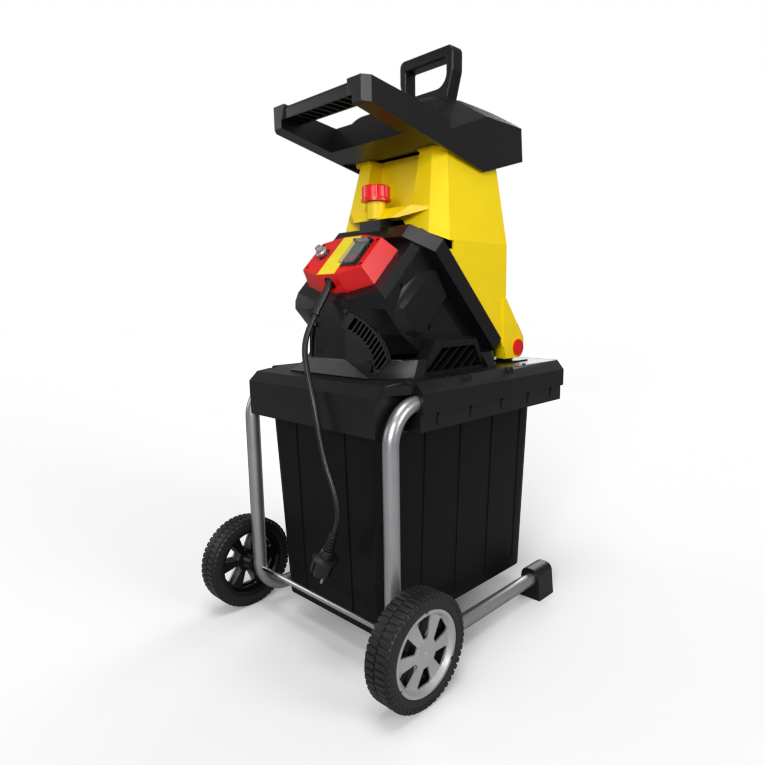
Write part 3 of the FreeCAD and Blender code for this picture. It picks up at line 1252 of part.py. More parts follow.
flap = new_body("switch_flap")
lid = on_plane(flap, "XY_Plane", "flap_lift")
outline(lid, [("plate_x - plate_half + 1", "plate_low", "4"), ("plate_x + plate_half - 1", "plate_low", "4"),
              ("plate_x + plate_half - 1", "flap_hinge - 3.2"),
              ("plate_x - plate_half + 1", "flap_hinge - 3.2")])
pad(flap, lid, "flap_thick")
barrel = on_plane(flap, "YZ_Plane", "plate_x")
outline(barrel, [("flap_hinge - 5", "flap_lift"), ("flap_hinge", "flap_lift - 1.4"),
                 ("flap_hinge + 2.4", "flap_lift - 1.4", "2.3"), ("flap_hinge + 2.4", "flap_lift + 3.4", "2.3"),
                 ("flap_hinge - 2.4", "flap_lift + 3.4", "1"), ("flap_hinge - 5", "flap_lift + flap_thick")])
pad(flap, barrel, "2 * (plate_half - 4.5)", both=True)
eye = on_plane(flap, "YZ_Plane", "plate_x")
ring(eye, "flap_hinge", "flap_lift + 1", "flap_pin + running_gap")
pocket(flap, eye, "2 * plate_half", both=True)
on_front(flap)
keep(flap)

boot = new_body("reset_boot")
boot_ring = on_plane(boot, "XY_Plane", "switch_height")
ring(boot_ring, "reset_x", "reset_y", "boot_radius")
ring(boot_ring, "reset_x", "reset_y", "reset_radius + 0.4")
pad(boot, boot_ring, "boot_rise")
on_front(boot)
keep(boot)

reset = new_body("reset_button")
reset_disc = on_plane(reset, "XY_Plane", "switch_height - 3")
ring(reset_disc, "reset_x", "reset_y", "reset_radius")
pad(reset, reset_disc, "reset_rise + 3")
on_front(reset)
keep(reset)


# ---------------------------------------------------------------- strain relief, cord and plug
relief = new_body("strain_relief")
relief_side = on_plane(relief, "XZ_Plane")
outline(relief_side, [("0", "0"), ("relief_root", "0"), ("relief_root", "6"), ("relief_root - 1.2", "8"),
                      ("relief_tip", "relief_length - 5"), ("relief_tip + 1.6", "relief_length - 4"),
                      ("relief_tip + 1.6", "relief_length"), ("0", "relief_length")])
turn_about(relief, relief_side, "V_Axis")
place(relief, "0", "relief_y", "relief_z", X_AXIS, size["relief_angle"])
keep(relief)

lean = math.radians(size["relief_angle"])
cord_start = Vector(0, size["relief_y"] - math.sin(lean) * size["relief_length"],
                    size["relief_z"] + math.cos(lean) * size["relief_length"])
cord_points = [cord_start]
cord_points.append(cord_start + Vector(0, -math.sin(lean), math.cos(lean)) * 32)
cord_points.append(Vector(7, -211, 527))
cord_points.append(Vector(22, -217, 494))
cord_points.append(Vector(38, -222, 460))
cord_points.append(Vector(50, -224, 425))
cord_points.append(Vector(59, -225, 388))
cord_points.append(Vector(70, -225, 352))
cord_points.append(Vector(86, -225, 320))
cord_points.append(Vector(97, -225, 288))
cord_points.append(Vector(96, -225, 262))
cord_points.append(Vector(86, -225, 242))


def cord_path(points):
    """straight runs joined by tangent arcs as large as the runs allow"""
    edges = []
    here = points[0]
    for i in range(1, len(points) - 1):
        back = points[i - 1] - points[i]
        ahead = points[i + 1] - points[i]
        shorter = min(back.Length, ahead.Length)
        half_turn = (math.pi - back.getAngle(ahead)) / 2
        reach = 0.45 * shorter
        radius = reach / math.tan(half_turn)
        back.normalize()
        ahead.normalize()
        enter = points[i] + back * reach
        leave = points[i] + ahead * reach
        drop = radius / math.cos(half_turn) - radius
        middle = points[i] + (back + ahead).normalize() * drop
        edges.append(Part.LineSegment(here, enter).toShape())
        edges.append(Part.Arc(enter, middle, leave).toShape())
        print("cord arc %2d radius %.1f turn %.1f" % (i, radius, math.degrees(2 * half_turn)))
        here = leave
    edges.append(Part.LineSegment(here, points[-1]).toShape())
    return Part.Wire(edges)


path = cord_path(cord_points)
start_way = cord_points[1] - cord_points[0]
circle = Part.Wire([Part.makeCircle(size["cord_radius"], cord_points[0], start_way)])
tube = path.makePipeShell([circle], True, True)
print("cord length %.1f  volume %.0f against %.0f" % (
    path.Length, tube.Volume, path.Length * math.pi * size["cord_radius"] ** 2))
cord = doc.addObject("Part::Feature", "power_cord")
cord.Label = "power_cord"
cord.Shape = tube
cord.Placement = Placement()
keep(cord)


def at_cord_end(thing):
    place(thing, "86", "-225", "242", Y_AXIS, size["plug_angle"])
    return thing


plug = new_body("plug_body")
plug_side = on_plane(plug, "XZ_Plane")
outline(plug_side, [("0", "0"), ("5.6", "0"), ("6.8", "4"), ("9", "plug_boot - 4"), ("11", "plug_boot"),
                    ("13", "plug_neck - 2"), ("plug_flange", "plug_neck"), ("plug_flange", "plug_neck + 4"),
                    ("plug_body", "plug_neck + 4.5"), ("plug_body", "plug_length"), ("0", "plug_length")])
turn_about(plug, plug_side, "V_Axis")
rib = on_plane(plug, "XZ_Plane")
outline(rib, [("5.9", "8"), ("12", "8"), ("12", "10.5"), ("5.9", "10.5")])
grooves = turn_about(plug, rib, "V_Axis", cut=True)
along(plug, grooves, "Z_Axis", "24", 5)
key_side = on_plane(plug, "XY_Plane", "plug_length + 1")
outline(key_side, slab("-4", "plug_body - 3", "4", "plug_body + 2"))
keys = pocket(plug, key_side, "plug_length - plug_neck - 6")
mirror(plug, keys, "XZ_Plane")
at_cord_end(plug)
keep(plug)

prongs = new_body("plug_pins")
prong = on_plane(prongs, "XY_Plane", "plug_length")
ring(prong, "plug_pin_pitch", "0", "plug_pin_radius")
mirror(prongs, pad(prongs, prong, "plug_pin_length"))
at_cord_end(prongs)
keep(prongs)


# ---------------------------------------------------------------- grilles and louvres
grille_rim = crescent("grille_rim", "0", "0", "grille_thick")
grille_hole = crescent("grille_hole", "grille_margin", "-1", "grille_thick + 2")
bars = new_body("grille_bars")
bar = on_plane(bars, "XZ_Plane")
outline(bar, slab("-20", "-44", "90", "-44 + grille_bar"))
along(bars, pad(bars, bar, "grille_thick - 1"), "Z_Axis", "74", 11)
on_facet(bars, -54.6)
end_plate = new_body("grille_end")
corner = on_plane(end_plate, "XZ_Plane")
outline(corner, [("-6", "81.5"), ("10", "104"), ("20.5", "98.4"), ("4", "74.9")])
pad(end_plate, corner, "grille_thick - 1")
on_facet(end_plate)
doc.recompute()
slats = boolean("Common", "grille_slats", bars, grille_hole)
rim = boolean("Cut", "grille_frame", grille_rim, grille_hole)
keep(boolean("MultiFuse", "right_front_grille", rim, [slats, end_plate]))

louvre_frame = new_body("louvre_frame")
frame = on_plane(louvre_frame, "YZ_Plane", "house_half")
outline(frame, louvre_edge())
pad(louvre_frame, frame, "louvre_out - house_half")
louvre_hole = new_body("louvre_hole")
window = on_plane(louvre_hole, "YZ_Plane", "house_half - 1")
outline(window, [("-66", "deck + 4"), ("-22", "526"), ("68", "526"), ("90", "deck + 4")])
pad(louvre_hole, window, "louvre_out - house_half + 2")
louvre_bars = new_body("louvre_bars")
bar = on_plane(louvre_bars, "YZ_Plane", "house_half")
outline(bar, [("-51", "deck + 1"), ("-51 + slat_thick", "deck + 1"),
              ("-51 + slat_thick + slat_lean", "deck + 49"), ("-51 + slat_lean", "deck + 49")])
along(louvre_bars, pad(louvre_bars, bar, "louvre_out - house_half - 4"), "Y_Axis", "4 * slat_pitch", 5)
doc.recompute()
slats = boolean("Common", "louvre_slats", louvre_bars, louvre_hole)
rim = boolean("Cut", "louvre_rim", louvre_frame, louvre_hole)
keep(boolean("MultiFuse", "right_louvre", rim, [slats]))


def opposite(thing, label):
    """the same sub-part on the machine's left"""
    twin = doc.addObject("Part::Mirroring", label)
    twin.Label = label
    twin.Source = thing
    twin.Normal = X_AXIS
    doc.recompute()
    return keep(twin)


opposite(parts[-2], "left_front_grille")
opposite(parts[-2], "left_louvre")


# ---------------------------------------------------------------- screws
def screws(label, role, seat, spots, head, shank, reverse=False, both_sides=False):
    """screws of one size as separate solids: heads on the seat, shanks behind it"""
    body = new_body(label)
    rods = on_plane(body, role, seat)
    for spot in spots:
        ring(rods, spot[0], spot[1], "screw_shank")
    rods = pad(body, rods, shank, reverse=not reverse)
    heads = on_plane(body, role, seat)
    for spot in spots:
        ring(heads, spot[0], spot[1], "screw_head")
    heads = pad(body, heads, head, reverse=reverse)
    if both_sides:
        mirror(body, [rods, heads])
    return keep(body)


def corners_of(x, low, high):
    """four screw places, alike on both sides"""
    return [("-(%s)" % x, low), (x, low), ("-(%s)" % x, high), (x, high)]


screws("housing_screws", "YZ_Plane", "house_half - well_depth", well_spots, "2.2", "7", both_sides=True)
screws("hood_screws", "XY_Plane", "hopper_top - 4", corners_of("hopper_top_half + 4.7", "60", "150"),
       "2.5", "8", reverse=True)
screws("frame_screws", "XY_Plane", "deck", corners_of("180", "-60", "170"), "2.5", "30")
screws("bracket_screws", "XY_Plane", "deck + plate_wall", corners_of("60", "197", "228"), "2.3", "9")
on_front(screws("switch_screws", "XY_Plane", "switch_height - 2.5",
                corners_of("face_half - 7", "face_chin + 6", "face_cheek - 4"), "1.8", "12"))
on_slope(screws("blade_screws", "XY_Plane", "blade_thick - disc_top",
                [("45", "-2"), ("75", "-2"), ("-45", "2"), ("-75", "2")], "2.2", "9"))

# ---------------------------------------------------------------- check and write
doc.recompute()
for thing in doc.Objects:
    if "Invalid" in thing.State or "Error" in thing.State:
        raise RuntimeError("failed object: " + thing.Name + " in " + thing.Label)
os.makedirs("parts", exist_ok=True)
for thing in parts:
    shape = thing.Shape
    if shape.isNull() or not shape.isValid() or not shape.Solids:
        raise RuntimeError("bad shape: " + thing.Label)
    box = shape.BoundBox
    print("%-20s solids %d volume %9.0f  x %.1f %.1f  y %.1f %.1f  z %.1f %.1f" % (
        thing.Label, len(shape.Solids), shape.Volume, box.XMin, box.XMax,
        box.YMin, box.YMax, box.ZMin, box.ZMax))
    shape.exportStep("parts/%s.step" % thing.Label)
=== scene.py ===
import json
import math

import bmesh
import bpy
from mathutils import Matrix, Vector


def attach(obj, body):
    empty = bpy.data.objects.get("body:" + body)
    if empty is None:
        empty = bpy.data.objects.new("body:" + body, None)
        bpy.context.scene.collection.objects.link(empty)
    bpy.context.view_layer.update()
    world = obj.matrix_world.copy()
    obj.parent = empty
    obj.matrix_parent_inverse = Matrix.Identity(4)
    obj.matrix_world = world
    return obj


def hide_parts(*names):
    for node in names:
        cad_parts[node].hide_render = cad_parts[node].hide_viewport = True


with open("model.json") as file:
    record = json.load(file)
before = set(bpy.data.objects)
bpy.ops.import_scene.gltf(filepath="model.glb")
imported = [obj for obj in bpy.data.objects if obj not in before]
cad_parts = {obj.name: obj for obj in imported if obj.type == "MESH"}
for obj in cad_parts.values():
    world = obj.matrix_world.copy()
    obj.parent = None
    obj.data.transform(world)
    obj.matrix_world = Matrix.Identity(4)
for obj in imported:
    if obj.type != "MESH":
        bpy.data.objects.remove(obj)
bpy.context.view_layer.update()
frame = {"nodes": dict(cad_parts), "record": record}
nodes = frame["nodes"]
scene = bpy.context.scene
bodyOf = {name: body for body, names in frame["record"]["behaviour"]["bodies"].items() for name in names}
print("frame loaded:", len(nodes), "solids")


# small helpers

def linear(hexColour):
    # sRGB hex to the linear values that shaders take
    channels = [int(hexColour[i:i + 2], 16) / 255 for i in (1, 3, 5)]
    return tuple(c / 12.92 if c <= 0.04045 else ((c + 0.055) / 1.055) ** 2.4 for c in channels) + (1.0,)


def addNode(tree, kind, settings=None, links=None):
    # one node with its properties, input values and incoming links
    node = tree.nodes.new(kind)
    for name, value in (settings or {}).items():
        if isinstance(name, str) and hasattr(node, name) and name not in node.inputs:
            setattr(node, name, value)
        else:
            node.inputs[name].default_value = value
    for name, socket in (links or {}).items():
        tree.links.new(socket, node.inputs[name])
    return node


def perMm(size):
    # noise scale, in cells per metre, for a feature of this size in millimetres
    return 1000 / size


def linkObject(name, data):
    made = bpy.data.objects.new(name, data)
    scene.collection.objects.link(made)
    return made


def meshFrom(name, work):
    # closes a bmesh into a mesh object at the origin
    mesh = bpy.data.meshes.new(name)
    work.to_mesh(mesh)
    work.free()
    return linkObject(name, mesh)


def finishWith(piece, material):
    piece.data.materials.clear()
    piece.data.materials.append(material)
    return piece


def shadeSmooth(piece, limit=32):
    piece.data.shade_smooth()
    piece.data.set_sharp_from_angle(angle=math.radians(limit))


def joinRings(work, rings):
    # closes a ring of like profiles into one skin, each profile a closed loop
    for i, here in enumerate(rings):
        there = rings[(i + 1) % len(rings)]
        for j in range(len(here)):
            k = (j + 1) % len(here)
            work.faces.new((here[j], here[k], there[k], there[j]))
    bmesh.ops.recalc_face_normals(work, faces=work.faces)


# materials: what each surface is made of, and how it was made

def makeFinish(name, finish):
    # a moulded, painted or machined surface with grain, drifting shade and uneven gloss
    material = bpy.data.materials.new(name)
    material.use_nodes = True
    tree = material.node_tree
    tree.nodes.clear()
    place = addNode(tree, "ShaderNodeTexCoord")
    drift = addNode(tree, "ShaderNodeTexNoise", {"Scale": perMm(finish["drift"]), "Detail": 3.0},
                    {"Vector": place.outputs["Object"]})
    grain = addNode(tree, "ShaderNodeTexNoise", {"Scale": perMm(finish["grain"]), "Detail": 2.0},
                    {"Vector": place.outputs["Object"]})
    tint = addNode(tree, "ShaderNodeMix", {"data_type": "RGBA"}, {"Factor": drift.outputs["Fac"]})
    # sockets 6 and 7 are the A and B of a colour mix
    tint.inputs[6].default_value = linear(finish["colour"])
    tint.inputs[7].default_value = linear(finish["shade"])
    gloss = addNode(tree, "ShaderNodeMapRange",
                    {"From Min": 0.3, "From Max": 0.7, "To Min": finish["rough"][0], "To Max": finish["rough"][1]},
                    {"Value": grain.outputs["Fac"]})
    bump = addNode(tree, "ShaderNodeBump", {"Strength": finish["relief"], "Distance": 0.0004},
                   {"Height": grain.outputs["Fac"]})
    shader = addNode(tree, "ShaderNodeBsdfPrincipled",
                     {"Metallic": finish.get("metallic", 0.0), "Coat Weight": finish.get("coat", 0.0),
                      "Specular IOR Level": finish.get("sheen", 0.5),
                      "Coat Roughness": finish.get("coatRough", 0.1)},
                     {"Base Color": tint.outputs[2], "Roughness": gloss.outputs["Result"],
                      "Normal": bump.outputs["Normal"]})
    if "ior" in finish:
        shader.inputs["IOR"].default_value = finish["ior"]
    addNode(tree, "ShaderNodeOutputMaterial", {}, {"Surface": shader.outputs["BSDF"]})
    return material


# black polypropylene from a spark-eroded mould: the grain is 0.3 mm, drawn at 1.6 mm so that it shows
blackMoulding = makeFinish("spark-grained polypropylene", {
    "colour": "#0c0c0d", "shade": "#141415", "grain": 1.6, "drift": 60, "rough": (0.30, 0.40),
    "relief": 0.18, "ior": 1.49, "sheen": 0.36})
# the housing comes from a finer mould, so it is deeper and a little shinier
housingMoulding = makeFinish("glass-filled nylon moulding", {
    "colour": "#0d0d0e", "shade": "#161618", "grain": 1.4, "drift": 50, "rough": (0.26, 0.36),
    "relief": 0.12, "ior": 1.53, "sheen": 0.28})
# the tub is drawn smooth, with a wide soft sheen
tubMoulding = makeFinish("smooth polypropylene tub", {
    "colour": "#0a0a0b", "shade": "#111112", "grain": 2.4, "drift": 90, "rough": (0.38, 0.46),
    "relief": 0.04, "ior": 1.49, "sheen": 0.13})
# self-coloured yellow polypropylene, satin, with the faint flow mottle of a big moulding
yellowMoulding = makeFinish("yellow polypropylene moulding", {
    "colour": "#f6d703", "shade": "#eccb02", "grain": 1.8, "drift": 35, "rough": (0.36, 0.46),
    "relief": 0.12, "ior": 1.49, "sheen": 0.34})
# red ABS with a semi-gloss mould
redMoulding = makeFinish("semi-gloss red ABS", {
    "colour": "#e60d10", "shade": "#d4090d", "grain": 1.2, "drift": 30, "rough": (0.26, 0.36),
    "relief": 0.08, "ior": 1.54})
# powder-coated tube: silver flake in a satin coat
tubeCoat = makeFinish("silver powder coat on steel", {
    "colour": "#b9b9bb", "shade": "#a5a5a8", "grain": 1.2, "drift": 45, "rough": (0.30, 0.40),
    "relief": 0.06, "metallic": 0.85})
# silver lacquer sprayed on an ABS trim
silverLacquer = makeFinish("silver lacquer on ABS", {
    "colour": "#cacacc", "shade": "#bcbcbf", "grain": 1.1, "drift": 25, "rough": (0.30, 0.42),
    "relief": 0.07, "metallic": 0.7, "coat": 0.2, "coatRough": 0.2})
# moulded rubber with a little mould release left on it
tyreRubber = makeFinish("moulded tyre rubber", {
    "colour": "#0e0e0f", "shade": "#171718", "grain": 1.3, "drift": 18, "rough": (0.42, 0.60),
    "relief": 0.20, "ior": 1.52})
# bright zinc-plated bar
brightZinc = makeFinish("bright zinc on steel bar", {
    "colour": "#d9d9dc", "shade": "#c2c2c8", "grain": 1.0, "drift": 20, "rough": (0.14, 0.24),
    "relief": 0.04, "metallic": 1.0})
# ground tool steel of disc, blades and bearings
groundSteel = makeFinish("ground tool steel", {
    "colour": "#a3a19d", "shade": "#8d8b88", "grain": 0.9, "drift": 15, "rough": (0.22, 0.38),
    "relief": 0.10, "metallic": 1.0})
# nickel-plated brass prongs
nickelPlate = makeFinish("nickel plate on brass", {
    "colour": "#cfc7b8", "shade": "#bdb39f", "grain": 0.8, "drift": 8, "rough": (0.16, 0.26),
    "relief": 0.04, "metallic": 1.0})
# soft PVC of the cord, its boots and the plug
cordSheath = makeFinish("extruded PVC sheath", {
    "colour": "#0c0c0d", "shade": "#131314", "grain": 1.1, "drift": 14, "rough": (0.30, 0.42),
    "relief": 0.10, "ior": 1.53})
# lacquered lamination steel of the motor
laminations = makeFinish("varnished lamination steel", {
    "colour": "#5a4436", "shade": "#473529", "grain": 1.0, "drift": 12, "rough": (0.35, 0.5),
    "relief": 0.18, "metallic": 0.6})
# black oxide on the small screws
blackOxide = makeFinish("black oxide on steel", {
    "colour": "#2a2a2c", "shade": "#1c1c1e", "grain": 0.8, "drift": 6, "rough": (0.28, 0.42),
    "relief": 0.06, "metallic": 0.9})
# gloss black ABS of switch plate and buttons
glossBlack = makeFinish("gloss black ABS", {
    "colour": "#111114", "shade": "#1a1a1e", "grain": 0.9, "drift": 10, "rough": (0.16, 0.26),
    "relief": 0.04, "ior": 1.54})
greenKey = makeFinish("green ABS key", {
    "colour": "#1c7a3a", "shade": "#156430", "grain": 0.9, "drift": 8, "rough": (0.2, 0.3),
    "relief": 0.04, "ior": 1.54})
redKey = makeFinish("red ABS key", {
    "colour": "#b3141a", "shade": "#970f14", "grain": 0.9, "drift": 8, "rough": (0.2, 0.3),
    "relief": 0.04, "ior": 1.54})
# printed vinyl strip, left plain
yellowVinyl = makeFinish("plain yellow vinyl film", {
    "colour": "#f7e31a", "shade": "#efd60f", "grain": 1.5, "drift": 12, "rough": (0.22, 0.3),
    "relief": 0.03, "coat": 0.3})


def makeClear(name, clear):
    # clear polycarbonate: mostly lets light through, with a smoky body and a bright gloss
    material = bpy.data.materials.new(name)
    material.use_nodes = True
    tree = material.node_tree
    tree.nodes.clear()
    place = addNode(tree, "ShaderNodeTexCoord")
    smear = addNode(tree, "ShaderNodeTexNoise", {"Scale": perMm(clear["smear"]), "Detail": 2.0},
                    {"Vector": place.outputs["Object"]})
    gloss = addNode(tree, "ShaderNodeMapRange", {"To Min": 0.03, "To Max": 0.12}, {"Value": smear.outputs["Fac"]})
    shader = addNode(tree, "ShaderNodeBsdfPrincipled",
                     {"Base Color": linear(clear["colour"]), "IOR": 1.585, "Transmission Weight": clear["through"]},
                     {"Roughness": gloss.outputs["Result"]})
    addNode(tree, "ShaderNodeOutputMaterial", {}, {"Surface": shader.outputs["BSDF"]})
    return material


clearLid = makeClear("clear polycarbonate lid", {"colour": "#e9ecf2", "smear": 6, "through": 0.94})
clearBoot = makeClear("clear silicone boot", {"colour": "#e4e6ea", "smear": 4, "through": 0.8})
print("finishes made")


# camera, floor and lights

view = {
    "eye": (0.7854, -0.8045, 0.6071), "yaw": 44.26, "pitch": 9.69, "roll": -0.74,
    "lens": 28.16, "shiftX": -0.0140, "shiftY": 0.0253,
}
camera = linkObject("camera", bpy.data.cameras.new("camera"))
yaw, pitch = math.radians(view["yaw"]), math.radians(view["pitch"])
ahead = Vector((-math.sin(yaw) * math.cos(pitch), math.cos(yaw) * math.cos(pitch), -math.sin(pitch)))
turn = ahead.to_track_quat("-Z", "Y").to_matrix().to_4x4()
camera.matrix_world = Matrix.Translation(view["eye"]) @ turn @ Matrix.Rotation(math.radians(view["roll"]), 4, "Z")
camera.data.lens = view["lens"]
camera.data.shift_x = view["shiftX"]
camera.data.shift_y = view["shiftY"]
camera.data.clip_start = 0.01
scene.camera = camera

studio = {
    "floor": "#a4a4a4", "floorReach": 14, "sky": 0.24,
    "softboxes": (  # name, place, size, power
        ("key", (1.5, -2.5, 1.6), 1.3, 62),
        ("side", (2.9, 0.4, 1.5), 1.2, 30),
        ("top", (0.3, -0.6, 2.9), 1.2, 26),
        ("left", (-2.4, -1.4, 1.3), 1.2, 10),
        ("rear", (-0.8, 2.8, 1.3), 1.6, 26),
    ),
}
floorWork = bmesh.new()
bmesh.ops.create_circle(floorWork, cap_ends=True, radius=studio["floorReach"], segments=64)
floor = meshFrom("floor", floorWork)
floorMaterial = bpy.data.materials.new("matt pale paper")
floorMaterial.use_nodes = True
floorMaterial.node_tree.nodes["Principled BSDF"].inputs["Base Color"].default_value = linear(studio["floor"])
floorMaterial.node_tree.nodes["Principled BSDF"].inputs["Roughness"].default_value = 0.9
finishWith(floor, floorMaterial)
floor.is_shadow_catcher = True
# the sky lights the object softly, and is seen as plain white behind it
world = bpy.data.worlds.new("studio")
world.use_nodes = True
sky = world.node_tree
sky.nodes.clear()
seen = addNode(sky, "ShaderNodeBackground", {"Color": (1, 1, 1, 1), "Strength": 1.0})
soft = addNode(sky, "ShaderNodeBackground", {"Color": (1, 1, 1, 1), "Strength": studio["sky"]})
ray = addNode(sky, "ShaderNodeLightPath")
either = addNode(sky, "ShaderNodeMixShader", {}, {0: ray.outputs["Is Camera Ray"], 1: soft.outputs[0],
                                                  2: seen.outputs[0]})
addNode(sky, "ShaderNodeOutputWorld", {}, {"Surface": either.outputs[0]})
scene.world = world
for name, place, reach, power in studio["softboxes"]:
    lamp = linkObject(name + "Softbox", bpy.data.lights.new(name + "Softbox", "AREA"))
    lamp.data.size = reach
    lamp.data.energy = power
    aim = Vector((0, 0, 0.5)) - Vector(place)
    lamp.matrix_world = Matrix.Translation(place) @ aim.to_track_quat("-Z", "Y").to_matrix().to_4x4()
scene.view_settings.view_transform = "Standard"
print("studio set")


# mains cord, from the end of its boot to the plug

cord = {
    "diameter": 0.009, "length": 0.370,
    "route": ((0, -0.180025, 0.584041), (0, -0.197687, 0.557357), (0.007, -0.211, 0.527), (0.022, -0.217, 0.494),
              (0.038, -0.222, 0.460), (0.050, -0.224, 0.425), (0.059, -0.225, 0.388), (0.070, -0.225, 0.352),
              (0.086, -0.225, 0.320), (0.097, -0.225, 0.288), (0.096, -0.225, 0.262), (0.086, -0.225, 0.242)),
}
line = bpy.data.curves.new("mains_cord", "CURVE")
line.dimensions = "3D"
line.resolution_u = 8
line.bevel_depth = cord["diameter"] / 2
line.bevel_resolution = 6
line.use_fill_caps = True
spline = line.splines.new("NURBS")
spline.points.add(len(cord["route"]) - 1)
for point, place in zip(spline.points, cord["route"]):
    point.co = (*place, 1)
spline.order_u = 3
spline.use_endpoint_u = True
mainsCord = linkObject("mains_cord", line)
finishWith(mainsCord, cordSheath)
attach(mainsCord, "root")
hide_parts("power_cord")
print("cord laid")


# mouldings: each solid gets the rounded corners that its mould has

creaseAngle = 13  # degrees; a flatter edge belongs to a curved face and stays smooth
weldDistance = 2e-6


def softEdged(nodeName, rounding, material):
    work = bmesh.new()
    work.from_mesh(nodes[nodeName].data)
    bmesh.ops.remove_doubles(work, verts=work.verts, dist=weldDistance)
    piece = meshFrom(nodeName + "_moulding", work)
    shadeSmooth(piece, creaseAngle)
    corner = piece.modifiers.new("mould radius", "BEVEL")
    corner.width = rounding
    corner.segments = 2
    corner.limit_method = "ANGLE"
    corner.angle_limit = math.radians(creaseAngle)
    corner.use_clamp_overlap = True
    corner.harden_normals = True
    finishWith(piece, material)
    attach(piece, bodyOf[nodeName])
    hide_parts(nodeName)
    return piece


mouldRadii = {  # solid: radius in metres, finish
    "hood": (0.0022, blackMoulding), "base_cover": (0.0018, blackMoulding),
    "motor_housing": (0.0016, housingMoulding), "cutting_chamber": (0.0020, housingMoulding),
    "hopper_shell": (0.0022, yellowMoulding), "switch_box": (0.0014, redMoulding),
    "collection_box": (0.0008, tubMoulding), "pusher": (0.0012, blackMoulding),
    "lock_post": (0.0014, blackMoulding), "right_foot": (0.0020, blackMoulding),
    "left_foot": (0.0020, blackMoulding), "right_hub_cap": (0.0010, silverLacquer),
    "left_hub_cap": (0.0010, silverLacquer),
}
for nodeName, (rounding, material) in mouldRadii.items():
    softEdged(nodeName, rounding, material)
print("mouldings rounded")


# tyres: a carcass with two staggered rows of tread blocks and a row of shoulder lugs

tyre = {
    "radius": 0.090, "width": 0.046, "rim": 0.068, "centreY": -0.193, "face": 0.255, "steps": 96,
    "blocks": 52, "blockLength": 0.0082, "blockWidth": 0.0182, "blockCorner": 0.0009, "blockRoot": 0.002,
    "treadDepth": 0.0026, "rowOffset": 0.0102, "edgeAngle": 40,
    "lugWidth": 0.003, "lugHeight": 0.006, "lugLength": 0.0072, "lugCorner": 0.0008,
    "lugDrop": 0.0070, "lugStand": 0.0002,
}


def tyreCarcass(name, centreX):
    half = tyre["width"] / 2
    floorRadius = tyre["radius"] - tyre["treadDepth"]
    rim = tyre["rim"]
    profile = [(-half + 0.001, rim), (-half, rim + 0.002), (-half + 0.0005, floorRadius - 0.006),
               (-half + 0.003, floorRadius - 0.0016), (-half + 0.007, floorRadius),
               (half - 0.007, floorRadius), (half - 0.003, floorRadius - 0.0016),
               (half - 0.0005, floorRadius - 0.006), (half, rim + 0.002), (half - 0.001, rim)]
    work = bmesh.new()
    rings = []
    for i in range(tyre["steps"]):
        angle = 2 * math.pi * i / tyre["steps"]
        rings.append([work.verts.new((centreX + x, tyre["centreY"] + r * math.cos(angle),
                                      tyre["radius"] + r * math.sin(angle))) for x, r in profile])
    joinRings(work, rings)
    carcass = meshFrom(name, work)
    shadeSmooth(carcass, tyre["edgeAngle"])
    return carcass


def treadTree():
    # instances of one bevelled block round the wheel, in rows that are staggered by half a pitch
    tree = bpy.data.node_groups.new("treadRows", "GeometryNodeTree")
    tree.is_modifier = True
    face = tree.interface
    face.new_socket("Geometry", in_out="INPUT", socket_type="NodeSocketGeometry")
    for name, kind in (("Block", "NodeSocketObject"), ("Count", "NodeSocketInt"), ("Radius", "NodeSocketFloat"),
                       ("Row Place", "NodeSocketFloat"), ("Stagger", "NodeSocketFloat"),
                       ("Centre", "NodeSocketVector"), ("Finish", "NodeSocketMaterial")):
        face.new_socket(name, in_out="INPUT", socket_type=kind)
    face.new_socket("Geometry", in_out="OUTPUT", socket_type="NodeSocketGeometry")
    given = addNode(tree, "NodeGroupInput").outputs
    points = addNode(tree, "GeometryNodePoints", {}, {"Count": given["Count"]})
    index = addNode(tree, "GeometryNodeInputIndex")
    place = addNode(tree, "ShaderNodeMath", {"operation": "ADD"}, {0: index.outputs[0], 1: given["Stagger"]})
    step = addNode(tree, "ShaderNodeMath", {"operation": "DIVIDE", 0: 2 * math.pi}, {1: given["Count"]})
    angle = addNode(tree, "ShaderNodeMath", {"operation": "MULTIPLY"}, {0: place.outputs[0], 1: step.outputs[0]})
    across = addNode(tree, "ShaderNodeMath", {"operation": "COSINE"}, {0: angle.outputs[0]})
    rise = addNode(tree, "ShaderNodeMath", {"operation": "SINE"}, {0: angle.outputs[0]})
    y = addNode(tree, "ShaderNodeMath", {"operation": "MULTIPLY"}, {0: across.outputs[0], 1: given["Radius"]})
    z = addNode(tree, "ShaderNodeMath", {"operation": "MULTIPLY"}, {0: rise.outputs[0], 1: given["Radius"]})
    spot = addNode(tree, "ShaderNodeCombineXYZ", {},
                   {"X": given["Row Place"], "Y": y.outputs[0], "Z": z.outputs[0]})
    moved = addNode(tree, "ShaderNodeVectorMath", {"operation": "ADD"}, {0: spot.outputs[0], 1: given["Centre"]})
    standing = addNode(tree, "GeometryNodeSetPosition", {},
                       {"Geometry": points.outputs[0], "Position": moved.outputs[0]})
    spin = addNode(tree, "ShaderNodeCombineXYZ", {}, {"X": angle.outputs[0]})
    shape = addNode(tree, "GeometryNodeObjectInfo", {}, {"Object": given["Block"]})
    copies = addNode(tree, "GeometryNodeInstanceOnPoints", {},
                     {"Points": standing.outputs[0], "Instance": shape.outputs["Geometry"],
                      "Rotation": spin.outputs[0]})
    real = addNode(tree, "GeometryNodeRealizeInstances", {}, {"Geometry": copies.outputs[0]})
    painted = addNode(tree, "GeometryNodeSetMaterial", {},
                      {"Geometry": real.outputs[0], "Material": given["Finish"]})
    addNode(tree, "NodeGroupOutput", {}, {"Geometry": painted.outputs[0]})
    return tree


